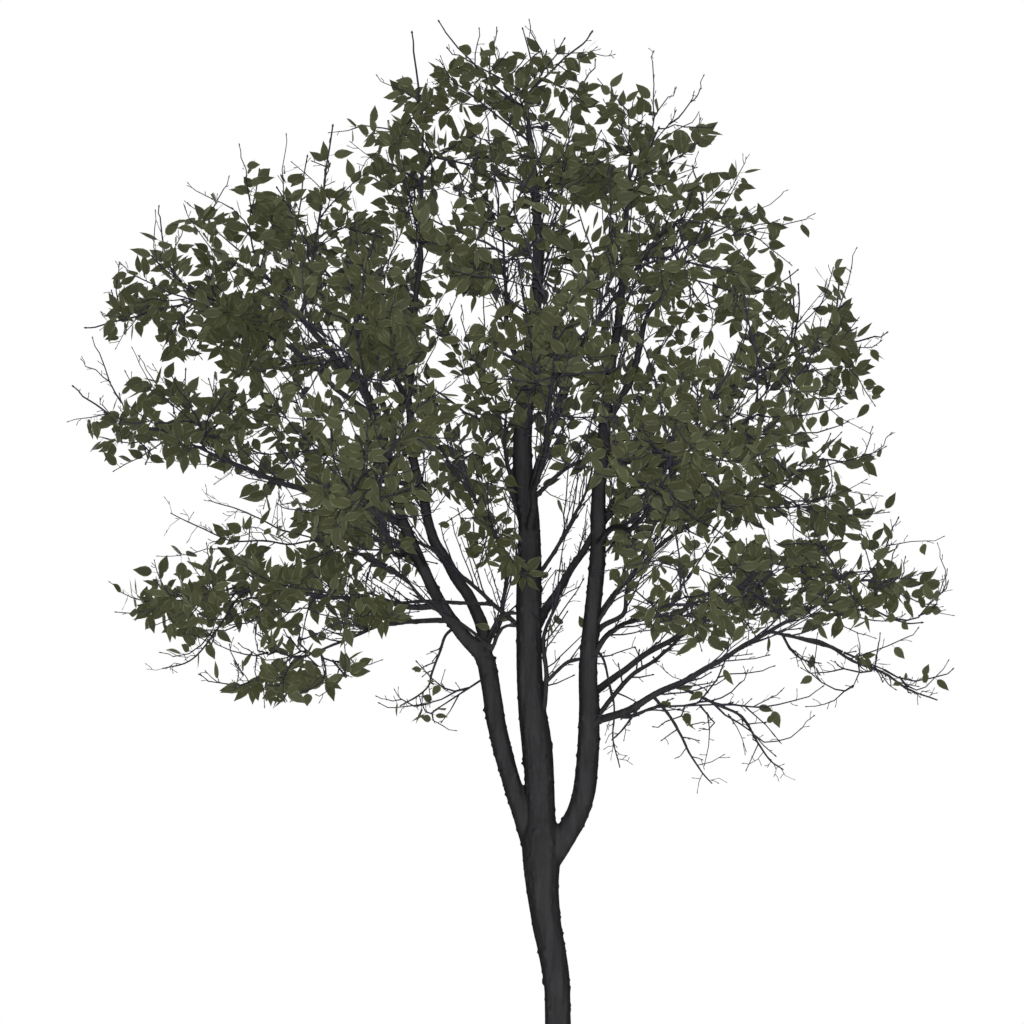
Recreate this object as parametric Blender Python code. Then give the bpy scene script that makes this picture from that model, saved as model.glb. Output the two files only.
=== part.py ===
"""A young poplar with three stems: trunk, stems, boughs and masses of foliage as separate solids.

Metres, +Z up. The origin is the middle of the flat cut under the trunk, at ground level.
+X is to the right and +Y to the back, seen with the fuller side of the crown on the left.
"""

import math
import random

import bmesh
import bpy
import numpy
from mathutils import Quaternion, Vector

# ---------------------------------------------------------------- driving dimensions

GAP = 0.0003  # clearance where one solid meets the next
ROUTE_STEP = 0.44  # spacing of the rings along a limb

FLARE_HEIGHT = 0.42  # the root flare dies out at this height
FLARE_SPREAD = 0.62  # share by which the flare widens the trunk at the ground
FLARE_LOBES = 5
LOBE_DEPTH = 0.13
LOBE_TURN = (0.6, 2.1)  # turn of the lobes, and of the wider swell beneath them, in radians
LOBE_SWELL = 0.5  # the wider swell, against the lobes

TRUNK_SIDES = 14
STEM_SIDES = 9
BOUGH_SIDES = 6
TWIG_SIDES = 3

# (x, y, z, radius) down the middle of the trunk, from the ground to inside the fork.
TRUNK = (
    (0.00, 0.00, 0.00, 0.132),
    (0.00, 0.00, 0.45, 0.130),
    (-0.01, 0.00, 0.80, 0.131),
    (-0.05, 0.00, 1.10, 0.137),
    (-0.11, 0.00, 1.40, 0.147),
    (-0.15, 0.00, 1.75, 0.163),
    (-0.16, 0.00, 2.05, 0.190),
    (-0.16, 0.00, 2.25, 0.196),
    (-0.17, 0.00, 2.48, 0.125),
)

# Each stem: how high its stub in the fork ends, then (x, y, z, radius) from inside the trunk up to its tip.
STEMS = {
    "left_stem": (
        3.02,
        (
            (-0.22, 0.00, 2.02, 0.100),
            (-0.34, 0.03, 2.45, 0.100),
            (-0.47, 0.08, 2.84, 0.093),
            (-0.60, 0.14, 3.35, 0.098),
            (-0.67, 0.20, 3.80, 0.096),
            (-0.74, 0.22, 4.06, 0.094),
            (-0.93, 0.15, 4.25, 0.072),
            (-1.17, 0.05, 4.58, 0.064),
            (-1.38, 0.00, 5.02, 0.058),
            (-1.57, -0.05, 5.48, 0.052),
            (-1.70, -0.10, 6.08, 0.047),
            (-1.90, -0.15, 6.64, 0.044),
            (-2.20, -0.22, 6.98, 0.038),
            (-2.45, -0.30, 7.27, 0.030),
        ),
    ),
    "centre_stem": (
        2.98,
        (
            (-0.16, 0.00, 2.05, 0.150),
            (-0.18, 0.02, 2.80, 0.150),
            (-0.21, 0.05, 3.20, 0.154),
            (-0.26, 0.10, 3.60, 0.138),
            (-0.28, 0.12, 4.05, 0.130),
            (-0.28, 0.15, 4.65, 0.130),
            (-0.28, 0.15, 5.40, 0.113),
            (-0.34, 0.14, 5.90, 0.104),
            (-0.33, 0.11, 6.45, 0.092),
            (-0.25, 0.10, 7.20, 0.074),
            (-0.19, 0.10, 7.90, 0.060),
            (-0.20, 0.10, 8.65, 0.047),
            (-0.26, 0.10, 9.30, 0.030),
        ),
    ),
    "right_stem": (
        2.75,
        (
            (-0.08, 0.00, 2.02, 0.114),
            (0.08, -0.03, 2.27, 0.114),
            (0.23, -0.09, 2.58, 0.113),
            (0.29, -0.14, 2.95, 0.112),
            (0.31, -0.20, 3.45, 0.104),
            (0.30, -0.23, 3.90, 0.094),
            (0.35, -0.26, 4.50, 0.084),
            (0.40, -0.30, 5.05, 0.079),
            (0.41, -0.30, 5.60, 0.073),
            (0.46, -0.27, 6.15, 0.067),
            (0.52, -0.20, 6.80, 0.051),
            (0.63, -0.14, 7.45, 0.042),
            (0.69, -0.06, 8.20, 0.030),
        ),
    ),
}

# Each mass of foliage: middle, half-sizes of its space, and how many leaves its solid carries.
MASSES = {
    "upper_left": ((-2.72, -0.40, 8.30), (1.02, 1.05, 0.94), 19),
    "top_centre": ((-0.30, 0.10, 9.82), (1.02, 1.05, 0.70), 17),
    "top_right": ((0.80, 0.10, 9.26), (0.95, 1.10, 0.78), 18),
    "top_left": ((-1.25, 0.10, 9.22), (0.95, 1.10, 0.80), 18),
    "low_left": ((-3.28, -0.30, 4.60), (1.26, 1.05, 0.56), 21),
    "low_left_under": ((-2.60, -1.05, 3.84), (0.85, 0.85, 0.46), 16),
    "low_left_inner": ((-2.00, 1.20, 5.10), (0.90, 1.05, 0.66), 15),
    "left_tip": ((-4.02, 0.20, 6.42), (1.00, 1.00, 0.70), 19),
    "front_left": ((-1.72, -2.15, 5.72), (1.05, 1.15, 0.95), 21),
    "upper_left_tip": ((-3.78, 0.10, 7.72), (0.90, 1.00, 0.74), 18),
    "upper_left_front": ((-1.90, -1.75, 7.06), (0.95, 1.05, 0.82), 19),
    "top_front": ((-0.50, -1.70, 8.20), (1.05, 1.05, 0.88), 16),
    "top_back": ((-0.10, 1.90, 8.80), (1.30, 1.10, 1.00), 19),
    "front_centre": ((-0.05, -2.60, 6.86), (0.90, 1.00, 0.90), 17),
    "front_right": ((0.98, -2.40, 5.78), (0.98, 1.05, 0.86), 20),
    "upper_right_front": ((1.02, -1.50, 7.94), (1.00, 1.05, 0.94), 19),
    "upper_right": ((1.62, 0.50, 8.36), (0.92, 1.05, 0.94), 18),
    "right_tip": ((2.62, 0.10, 7.12), (0.82, 1.05, 0.90), 19),
    "right_front": ((1.82, -1.75, 6.40), (0.92, 1.05, 0.90), 19),
    "right_mid": ((2.22, 0.80, 5.98), (1.05, 1.10, 0.82), 20),
    "low_right": ((2.40, 1.10, 4.98), (0.90, 1.00, 0.62), 16),
    "low_right_tip": ((3.02, -0.45, 4.76), (0.95, 0.95, 0.60), 18),
    "low_right_front": ((1.32, -1.50, 4.58), (0.92, 0.90, 0.60), 15),
    "under_right": ((1.66, -0.95, 3.32), (0.90, 0.66, 0.58), 7),
    "under_right_tip": ((3.22, -0.25, 3.82), (0.78, 0.50, 0.42), 6),
    "left_back": ((-2.75, 2.05, 6.80), (1.25, 1.20, 1.05), 20),
    "upper_left_back": ((-2.10, 1.95, 8.40), (1.15, 1.10, 0.98), 19),
    "back": ((-0.60, 3.00, 7.15), (1.40, 1.10, 1.25), 22),
    "right_back": ((1.25, 2.60, 6.95), (1.35, 1.15, 1.20), 21),
    "under_left": ((-1.24, -0.20, 3.52), (0.48, 0.44, 0.46), 4),
}

# Each bough ends in the mass it is named for: parent limb and height where it leaves it; how it leaves
# and how it arrives, each as pitch, turn in plan from straight at the mass, and share of its span that keeps
# so; its radius at both ends.
BOUGHS = {
    "low_left": ("left_stem", 4.56, (-20, 15, 0.30), (0, -10, 0.30), (0.036, 0.017)),
    "low_left_under": ("left_stem", 4.40, (0, -10, 0.36), (-25, 0, 0.36), (0.028, 0.014)),
    "low_left_inner": ("left_stem", 4.80, (15, 0, 0.36), (-5, 0, 0.36), (0.034, 0.017)),
    "left_tip": ("left_stem", 5.36, (18, -4, 0.39), (30, 2, 0.14), (0.038, 0.017)),
    "front_left": ("left_stem", 4.95, (32, 0, 0.36), (50, 0, 0.36), (0.036, 0.018)),
    "upper_left_tip": ("left_stem", 6.42, (34, 0, 0.36), (26, 0, 0.36), (0.032, 0.016)),
    "upper_left_front": ("left_stem", 5.80, (40, 0, 0.36), (55, 0, 0.36), (0.032, 0.016)),
    "left_back": ("bough_top_left", 5.80, (30, 0, 0.36), (40, 0, 0.36), (0.032, 0.016)),
    "upper_left_back": ("bough_top_left", 6.70, (42, 0, 0.36), (58, 0, 0.36), (0.030, 0.016)),
    "top_front": ("centre_stem", 6.62, (74, -30, 0.39), (45, 8, 0.36), (0.036, 0.016)),
    "top_back": ("centre_stem", 7.00, (50, 0, 0.36), (55, 0, 0.36), (0.036, 0.018)),
    "front_centre": ("centre_stem", 5.25, (46, 0, 0.36), (50, 0, 0.36), (0.042, 0.018)),
    "back": ("centre_stem", 5.00, (40, 0, 0.36), (45, 0, 0.36), (0.050, 0.020)),
    "right_back": ("centre_stem", 4.21, (41, 4, 0.36), (46, -3, 0.26), (0.055, 0.020)),
    "upper_right_front": ("centre_stem", 5.55, (60, -9, 0.44), (30, -2, 0.30), (0.048, 0.018)),
    "front_right": ("right_stem", 5.10, (36, 0, 0.36), (40, 0, 0.36), (0.038, 0.018)),
    "upper_right": ("right_stem", 6.32, (49, -1, 0.46), (45, -10, 0.28), (0.044, 0.018)),
    "right_tip": ("right_stem", 5.30, (43, -1, 0.31), (21, -7, 0.34), (0.042, 0.017)),
    "right_front": ("right_stem", 5.85, (20, 0, 0.36), (38, 0, 0.36), (0.030, 0.016)),
    "right_mid": ("right_stem", 4.30, (54, 0, 0.36), (30, 0, 0.36), (0.032, 0.016)),
    "low_right": ("right_stem", 3.62, (28, 20, 0.36), (20, 20, 0.30), (0.040, 0.016)),
    "low_right_tip": ("right_stem", 3.35, (10, -45, 0.36), (28, 25, 0.40), (0.044, 0.016)),
    "low_right_front": ("right_stem", 3.95, (60, 25, 0.40), (20, 10, 0.20), (0.034, 0.016)),
    "under_right_tip": ("bough_low_right_tip", 4.20, (-5, 25, 0.36), (-25, 0, 0.36), (0.018, 0.013)),
    "under_right": ("bough_low_right_tip", 3.44, (-35, -30, 0.36), (-15, 0, 0.36), (0.020, 0.012)),
}

# Big limbs that fork from a stem and run up to a mass: parent, height where they leave it, and course.
LEADERS = {
    "top_left": (
        "left_stem",
        3.98,
        (
            (-0.75, 0.37, 4.42, 0.066),
            (-0.92, 0.52, 4.72, 0.060),
            (-1.20, 0.68, 5.20, 0.054),
            (-1.40, 0.80, 5.85, 0.048),
            (-1.49, 0.80, 6.55, 0.040),
            (-1.49, 0.66, 7.20, 0.034),
            (-1.42, 0.45, 7.95, 0.028),
            (-1.38, 0.28, 8.70, 0.021),
        ),
    ),
}

MASS_STEM_ON = {"upper_left": "left_stem", "top_centre": "centre_stem", "top_right": "right_stem"}
SPRIG_ON = {"under_left": ("left_stem", 3.86, -30)}  # a mass that grows straight from a stem
SPRIG_RADIUS = 0.013
ENTRY = 0.82  # how far out from a mass's middle its bough ends, as a share of its space

BOW = 1.06  # length of a bough's curve, against the straight way
TAPER = 0.8  # below 1, a bough thins faster near its foot

# Growth of the twigs in a mass.
SEED = "poplar"
TARGETS = 10  # twigs in a mass's solid
NODE_STEP = 0.15  # spacing of the places where a twig may branch
TURN_COST = 1.2  # how strongly a twig prefers to leave ahead
PATH_WEIGHT = 0.2  # how strongly a twig prefers a short way back to the bough
JOINT_COST = 0.35  # how strongly a twig shuns a place that others leave from
HEADING_SHARE = 0.55  # how far a twig first keeps the way of the wood that it leaves
SAG = 0.16  # a twig hangs by this share of its length before it turns up
STEM_REACH = 0.9  # the stem of a mass ends this far along the way to its middle
SKIN = 0.98  # skin of a mass's space, as a share of its half-sizes
CANDIDATES = 10  # places tried for each new twig end, of which the loneliest is taken
SHELL = (0.45, 1.30)  # twigs end this far out from the middle of the mass's space
FILL = 1.8  # between two masses twigs go on while the product of their depths is below this
SPACE_MARGIN = 0.035  # clearance between the spaces of two masses
LIMB_CLEARANCE = 0.02
TWIG_TIP = 0.009
TWIG_TAPER = 0.45  # a twig's tip, against its base
TWIG_BASE_SHARE = 0.8  # a twig's base, against the limb it grows from
WAY_THINNING = 0.5  # a twig at the far end of a mass starts this much thinner
WAY_BEYOND = 0.5  # and the far end lies this far beyond the last joint
SPRIG_BARE = 1.5  # bare foot of a mass that grows from a stem, in radii of that stem

LEAF_LENGTH = 0.54
LEAF_WIDTH = 0.31
LEAF_THICK = 0.012
LEAF_WIDEST = 0.40  # where along the leaf it is widest
LEAF_SIZES = (0.88, 1.05)
LEAF_LEVEL = 0.45  # below 1, more leaves lie upright than level
LEAF_AHEAD = 0.8  # how far a leaf may lean along its twig
LEAF_SPAN = (0.15, 0.94)  # part of a twig's length that carries leaves
HANGING_LEAF = 0.6  # share of that size in the sprays that hang under the crown
CHECKS_ALONG = (0.0, 0.06, 0.15, 0.28, 0.4, 0.55, 0.7, 0.85, 1.0)  # where a leaf's place is checked
CHECKS_ACROSS = (-1, -0.5, 0, 0.5, 1)  # from one margin of the leaf to the other
LEAVES_MORE = 1.2  # leaves tried in a mass for each leaf that its table entry asks for
LEAF_TRIES = 110  # seats tried for each leaf, of which the loneliest is taken
LEAF_ROOM = 0.035  # leaves keep this far from each other and from the twigs of their mass
ROOT_ROOM = 0.13  # but for the twig near the leaf's own root
CHECKS_BETWEEN = (0.34, 0.67, 1.0)  # where each step of a twig is checked
ALONE = 1.0  # stands for the way to the nearest neighbour where there is none

WOOD = ("poplar_bark", (0.030, 0.030, 0.031), 0.85)
FOLIAGE = ("poplar_leaf", (0.053, 0.058, 0.030), 0.55)

SOFT_EDGE = math.radians(50)  # flatter edges of the wood are shaded smooth

UP = Vector((0, 0, 1))
MIDDLES = numpy.array([middle for middle, _, _ in MASSES.values()])
HALVES = numpy.array([half for _, half, _ in MASSES.values()])
ORDER = {mass: number for number, mass in enumerate(MASSES)}


# ---------------------------------------------------------------- routes of the limbs


def spline(points):
    """Points about ROUTE_STEP apart on a smooth curve through the given (x, y, z, radius) points."""
    knots = [Vector(p) for p in points]
    knots = [2 * knots[0] - knots[1], *knots, 2 * knots[-1] - knots[-2]]
    route = []
    for a, b, c, d in zip(knots, knots[1:], knots[2:], knots[3:]):
        count = max(1, round((c - b).xyz.length / ROUTE_STEP))
        for i in range(count):
            t = i / count
            bend = (2 * a - 5 * b + 4 * c - d) * t * t + (3 * b - a - 3 * c + d) * t**3
            route.append((2 * b + (c - a) * t + bend) / 2)
    return [*route, knots[-2]]


def split_route(route, height):
    """The route below and above a height, with a ring at the height in both."""
    for i, (a, b) in enumerate(zip(route, route[1:])):
        if a.z <= height < b.z:
            cut = a.lerp(b, (height - a.z) / (b.z - a.z))
            return [*route[: i + 1], cut], [cut, *route[i + 1 :]]
    raise ValueError("the height is off the route")


def reach(half, direction):
    """How far an ellipsoid of these half-sizes reaches in a direction."""
    return 1 / Vector(d / h for d, h in zip(direction, half)).length


def heading_to(gap, pitch, turn):
    """A direction at a pitch, turned in plan away from where the gap leads."""
    plan = Quaternion(UP, math.radians(turn)) @ Vector((gap.x, gap.y, 0)).normalized()
    return plan * math.cos(math.radians(pitch)) + UP * math.sin(math.radians(pitch))


def bough_route(start, mass, leave, arrive, radii):
    """A limb from a start point into the near side of a mass, as one curve."""
    middle, half = Vector(MASSES[mass][0]), MASSES[mass][1]
    out = heading_to(middle - start, *leave[:2])
    into = heading_to(middle - start, *arrive[:2])
    end = middle - into * reach(half, into) * ENTRY
    span = (end - start).length
    corners = (start, start + out * leave[2] * span, end - into * arrive[2] * span, end)
    count = max(4, round(span * BOW / ROUTE_STEP))
    route = []
    for i in range(count + 1):
        t = i / count
        weights = ((1 - t) ** 3, 3 * t * (1 - t) ** 2, 3 * t * t * (1 - t), t**3)
        place = sum((c * w for c, w in zip(corners, weights)), Vector((0, 0, 0)))
        route.append(Vector((*place, radii[0] + (radii[1] - radii[0]) * t**TAPER)))
    return route


# ---------------------------------------------------------------- meshes


def frames(route):
    """A pair of directions across the route at each of its points, carried along without twist."""
    places = [p.xyz for p in route]
    ahead = [(b - a).normalized() for a, b in zip(places, places[1:])]
    ahead = [ahead[0], *((a + b).normalized() for a, b in zip(ahead, ahead[1:])), ahead[-1]]
    side = Vector((0, 1, 0)).cross(ahead[0])
    if side.length < 0.1:
        side = Vector((1, 0, 0)).cross(ahead[0])
    found = []
    for direction in ahead:
        side = (side - direction * side.dot(direction)).normalized()
        found.append((side, direction.cross(side)))
    return found


def flare(angle, height):
    """The root flare's widening of the trunk at an angle and height, with a lobe over each root."""
    low = max(0.0, 1 - height / FLARE_HEIGHT) ** 2
    lobe = math.cos(FLARE_LOBES * angle + LOBE_TURN[0]) + LOBE_SWELL * math.cos(2 * angle + LOBE_TURN[1])
    return 1 + low * (FLARE_SPREAD + LOBE_DEPTH * lobe)


def tube(name, route, sides, grow=0.0, shape=None):
    """A closed round mesh along a route of (x, y, z, radius) points."""
    mesh = bmesh.new()
    rings = []
    for point, (side, other) in zip(route, frames(route)):
        ring = []
        for i in range(sides):
            angle = 2 * math.pi * i / sides
            radius = (point.w + grow) * (shape(angle, point.z) if shape else 1)
            place = point.xyz + (side * math.cos(angle) + other * math.sin(angle)) * radius
            ring.append(mesh.verts.new(place))
        rings.append(ring)
    for low, high in zip(rings, rings[1:]):
        for i in range(sides):
            j = (i + 1) % sides
            if sides > TWIG_SIDES:
                mesh.faces.new((low[i], low[j], high[j]))
                mesh.faces.new((low[i], high[j], high[i]))
            else:
                mesh.faces.new((low[i], low[j], high[j], high[i]))
    mesh.faces.new(list(reversed(rings[0])))
    mesh.faces.new(rings[-1])
    return new_object(name, mesh)


def leaf(name, root, along, across, size):
    """A kite-shaped leaf of six faces, keeled above and flat below, from its root to its tip."""
    normal = along.cross(across).normalized()
    wide = root + along * LEAF_LENGTH * LEAF_WIDEST * size
    places = (
        root,
        root + along * LEAF_LENGTH * size,
        wide - across * LEAF_WIDTH * size / 2 - normal * LEAF_THICK / 3,
        wide + across * LEAF_WIDTH * size / 2 - normal * LEAF_THICK / 3,
        wide + normal * LEAF_THICK * 2 / 3,
    )
    mesh = bmesh.new()
    base, tip, left, right, keel = (mesh.verts.new(p) for p in places)
    for end in (base, tip):
        for a, b in ((left, right), (right, keel), (keel, left)):
            mesh.faces.new((end, a, b))
    bmesh.ops.recalc_face_normals(mesh, faces=mesh.faces)
    return new_object(name, mesh)


def new_object(name, mesh):
    """An object in the scene from a bmesh, which is freed."""
    data = bpy.data.meshes.new(name)
    mesh.to_mesh(data)
    mesh.free()
    obj = bpy.data.objects.new(name, data)
    bpy.context.scene.collection.objects.link(obj)
    return obj


def apply_boolean(obj, operation, others):
    """Joins the others to the object, or cuts them from it, and removes them."""
    group = bpy.data.collections.new("operands")
    bpy.context.scene.collection.children.link(group)
    for other in others:
        group.objects.link(other)
        bpy.context.scene.collection.objects.unlink(other)
    boolean = obj.modifiers.new(operation.lower(), "BOOLEAN")
    boolean.operation = operation
    boolean.operand_type = "COLLECTION"
    boolean.collection = group
    boolean.solver = "EXACT"
    graph = bpy.context.evaluated_depsgraph_get()
    done = bpy.data.meshes.new_from_object(obj.evaluated_get(graph))
    obj.modifiers.clear()
    obj.data = done
    for other in others:
        bpy.data.objects.remove(other)
    bpy.data.collections.remove(group)


def shed_scraps(obj):
    """Keeps the largest body of an object: drops loose scraps and fills sealed hollows."""
    mesh = bmesh.new()
    mesh.from_mesh(obj.data)
    left = set(mesh.verts)
    bodies = []
    while left:
        body, edge = set(), [left.pop()]
        while edge:
            vert = edge.pop()
            body.add(vert)
            for link in vert.link_edges:
                other = link.other_vert(vert)
                if other in left:
                    left.remove(other)
                    edge.append(other)
        bodies.append(body)
    bodies.sort(key=len)
    for body in bodies[:-1]:
        bmesh.ops.delete(mesh, geom=list(body), context="VERTS")
    mesh.to_mesh(obj.data)
    mesh.free()


def finish(obj, material, smooth):
    """Gives an object its material and its shading."""
    obj.data.materials.clear()
    obj.data.materials.append(material)
    if smooth:
        obj.data.shade_smooth()
        obj.data.set_sharp_from_angle(angle=SOFT_EDGE)


def material(name, colour, roughness):
    """A plain material of one colour."""
    made = bpy.data.materials.new(name)
    made.use_nodes = True
    shader = made.node_tree.nodes["Principled BSDF"]
    shader.inputs["Base Color"].default_value = (*colour, 1)
    shader.inputs["Roughness"].default_value = roughness
    shader.inputs["Metallic"].default_value = 0
    return made


# ---------------------------------------------------------------- growth of a mass


def limb_rows(mass, limbs):
    """Both ends and radii of every straight piece of the limbs that comes near a mass, one row each."""
    rows = numpy.array([(*a, *b) for route in limbs for a, b in zip(route, route[1:])])
    middle, half, _ = MASSES[mass]
    gaps = numpy.linalg.norm((rows[:, :3] + rows[:, 4:7]) / 2 - middle, axis=1)
    return rows[gaps < max(half) * SHELL[1] + ROUTE_STEP * 2]


def fits(mass, wood, places):
    """Which of these places are in the mass's own space and clear of the limbs."""
    along = wood[:, 4:7] - wood[:, :3]
    gap = places[:, None] - wood[:, :3]
    share = numpy.clip((gap * along).sum(axis=2) / (along**2).sum(axis=1), 0, 1)
    skin = wood[:, 3] + (wood[:, 7] - wood[:, 3]) * share
    room = numpy.linalg.norm(gap - along * share[:, :, None], axis=2) - skin
    clear = room.min(axis=1) >= LIMB_CLEARANCE
    depth = numpy.linalg.norm((places[:, None] - MIDDLES) / HALVES, axis=2)
    own = depth[:, ORDER[mass]].copy()
    depth[:, ORDER[mass]] = numpy.inf
    other = depth.min(axis=1)
    return clear & ((own < SKIN) | (own * other < FILL)) & (own + SPACE_MARGIN < other)


def random_units(chance, count):
    """Directions spread evenly all round."""
    units = numpy.array([[chance.gauss(0, 1) for _ in range(3)] for _ in range(count)])
    return units / numpy.linalg.norm(units, axis=1, keepdims=True)


def twig_ends(mass, wood, chance, count):
    """Ends for the twigs of a mass, in an order that first fills its space coarsely and then ever finer."""
    middle, half, _ = MASSES[mass]
    ends = numpy.empty((0, 3))
    while len(ends) < count:
        units = random_units(chance, CANDIDATES)
        shares = numpy.array([[chance.uniform(*SHELL)] for _ in range(CANDIDATES)])
        places = middle + units * shares * half
        places = places[fits(mass, wood, places)]
        if len(places):
            room = numpy.linalg.norm(places[:, None] - ends, axis=2).min(axis=1, initial=ALONE)
            ends = numpy.vstack((ends, places[room.argmax()]))
    return ends


def twig_path(nodes, end):
    """Which node the twig to an end leaves from, and the curve it follows."""
    gaps = end - nodes[:, :3]
    lengths = numpy.linalg.norm(gaps, axis=1)
    turns = (gaps * nodes[:, 3:6]).sum(axis=1) / numpy.maximum(lengths, 1e-6)
    costs = lengths * (1 + TURN_COST * (1 - turns)) + PATH_WEIGHT * nodes[:, 6] + JOINT_COST * nodes[:, 7]
    best = numpy.where(lengths > NODE_STEP, costs, numpy.inf).argmin()
    place, length = nodes[best, :3], lengths[best]
    lean = nodes[best, 3:6] * HEADING_SHARE + gaps[best] / length * (1 - HEADING_SHARE)
    bend = place + lean * length * 0.5 - numpy.array((0, 0, SAG)) * length
    t = numpy.linspace(0, 1, max(2, round(length / NODE_STEP)) + 1)[:, None]
    return best, place * (1 - t) ** 2 + bend * 2 * t * (1 - t) + end * t * t


def along_path(path):
    """Places close together along a twig, without its root."""
    steps = [path[:-1] + (path[1:] - path[:-1]) * t for t in CHECKS_BETWEEN]
    return numpy.concatenate(steps)


def grow(mass, start, heading, clear, wood, chance, count):
    """The twigs of a mass as (way back to the bough, path), and first of all the stem they grow from."""
    inward = numpy.linalg.norm(MASSES[mass][0] - start) * STEM_REACH
    steps = numpy.linspace(0, 1, max(2, round(inward / NODE_STEP)) + 1)
    stem = start + heading * inward * steps[:, None]
    ways = numpy.arange(len(stem)) * NODE_STEP
    nodes = numpy.column_stack((stem, numpy.tile(heading, (len(stem), 1)), ways, numpy.zeros(len(stem))))
    nodes = nodes[ways > clear]
    twigs = [(0.0, stem)]
    for end in twig_ends(mass, wood, chance, count):
        joint, path = twig_path(nodes, end)
        if not fits(mass, wood, along_path(path)).all():
            continue
        nodes[joint, 7] += 1
        way = nodes[joint, 6]
        steps = path[1:] - path[:-1]
        lengths = numpy.linalg.norm(steps, axis=1)
        twigs.append((way, path))
        ways = way + numpy.cumsum(lengths)
        more = numpy.column_stack((path[1:], steps / lengths[:, None], ways, numpy.zeros(len(steps))))
        nodes = numpy.vstack((nodes, more))
    return twigs


def leaf_places(root, along, across):
    """Points all over a leaf that show where it lies."""
    places = []
    for share in CHECKS_ALONG:
        wide = min(share / LEAF_WIDEST, (1 - share) / (1 - LEAF_WIDEST)) / 2
        middle = root + along * LEAF_LENGTH * share
        places += [middle + across * LEAF_WIDTH * wide * side for side in CHECKS_ACROSS]
    return numpy.array(places)


def leaf_seat(route, chance):
    """A place on a twig's axis for a leaf, with the way out through the middle of one of its faces."""
    span = chance.randrange(len(route) - 1)
    a, b = route[span], route[span + 1]
    ahead = (b - a).xyz.normalized()
    side, other = frames(route)[span]
    angle = math.pi * (1 + 2 * chance.randrange(TWIG_SIDES)) / TWIG_SIDES
    outward = side * math.cos(angle) + other * math.sin(angle)
    outward = (outward - ahead * outward.dot(ahead)).normalized()
    along = (outward + ahead * chance.uniform(0.0, LEAF_AHEAD)).normalized()
    return a.lerp(b, chance.uniform(*LEAF_SPAN)).xyz, along


def room_for(places, taken):
    """How far these places keep from the nearest one that is taken."""
    if not len(taken):
        return ALONE
    return numpy.linalg.norm(places[:, None] - taken, axis=2).min()


def best_leaf(mass, wood, routes, near, tips, chance, turn):
    """The loneliest of the leaves tried in turn on the twigs of a mass, or None when none has room."""
    best, best_room = None, -1.0
    for attempt in range(LEAF_TRIES):
        root, along = leaf_seat(routes[(turn + attempt) % len(routes)], chance)
        facing = Vector((chance.gauss(0, 1), chance.gauss(0, 1), chance.gauss(0, LEAF_LEVEL)))
        across = along.cross(facing).normalized()
        middle = root + along * LEAF_LENGTH / 2
        lonely = room_for(numpy.array([middle]), tips)
        if lonely <= best_room:
            continue
        places = leaf_places(root, along, across)
        twigs, blades = near
        beyond = twigs[numpy.linalg.norm(twigs - numpy.array(root), axis=1) > ROOT_ROOM]
        free = min(room_for(places, beyond), room_for(places, blades)) >= LEAF_ROOM
        if free and fits(mass, wood, places).all():
            best, best_room = (root, along, across, middle, places), lonely
    return best


def build_mass(mass, start, heading, radius, clear, limbs):
    """The solid of a mass: its stem, its twigs and its leaves, fused."""
    chance = random.Random(f"{SEED} {mass}")
    wood = limb_rows(mass, limbs)
    foot = numpy.array(start + heading * GAP)
    twigs = grow(mass, foot, numpy.array(heading), clear, wood, chance, TARGETS)
    longest = max(way for way, _ in twigs) + WAY_BEYOND
    pieces, routes = [], []
    for number, (way, path) in enumerate(twigs):
        base = radius * TWIG_BASE_SHARE ** (number > 0) * (1 - WAY_THINNING * way / longest)
        tip = max(TWIG_TIP, base * TWIG_TAPER)
        corners = [path[0], path[-1]] if number == 0 else [path[0], path[len(path) // 2], path[-1]]
        spans = len(corners) - 1
        route = [Vector((*p, base + (tip - base) * i / spans)) for i, p in enumerate(corners)]
        pieces.append(tube(f"twig{number}", route, TWIG_SIDES))
        routes.append(route)
    along_twigs = numpy.concatenate([along_path(path) for _, path in twigs])
    blades, tips = numpy.empty((0, 3)), numpy.empty((0, 3))
    for turn in range(round(MASSES[mass][2] * LEAVES_MORE)):
        found = best_leaf(mass, wood, routes, (along_twigs, blades), tips, chance, turn)
        if found is None:
            break
        size = chance.uniform(*LEAF_SIZES) * (HANGING_LEAF if mass.startswith("under") else 1)
        pieces.append(leaf(f"leaf{turn}", *found[:3], size))
        tips = numpy.vstack((tips, found[3]))
        blades = numpy.vstack((blades, found[4]))
    body = pieces[0]
    body.name = f"foliage_{mass}"
    apply_boolean(body, "UNION", pieces[1:])
    shed_scraps(body)
    return body


# ---------------------------------------------------------------- the tree


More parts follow.
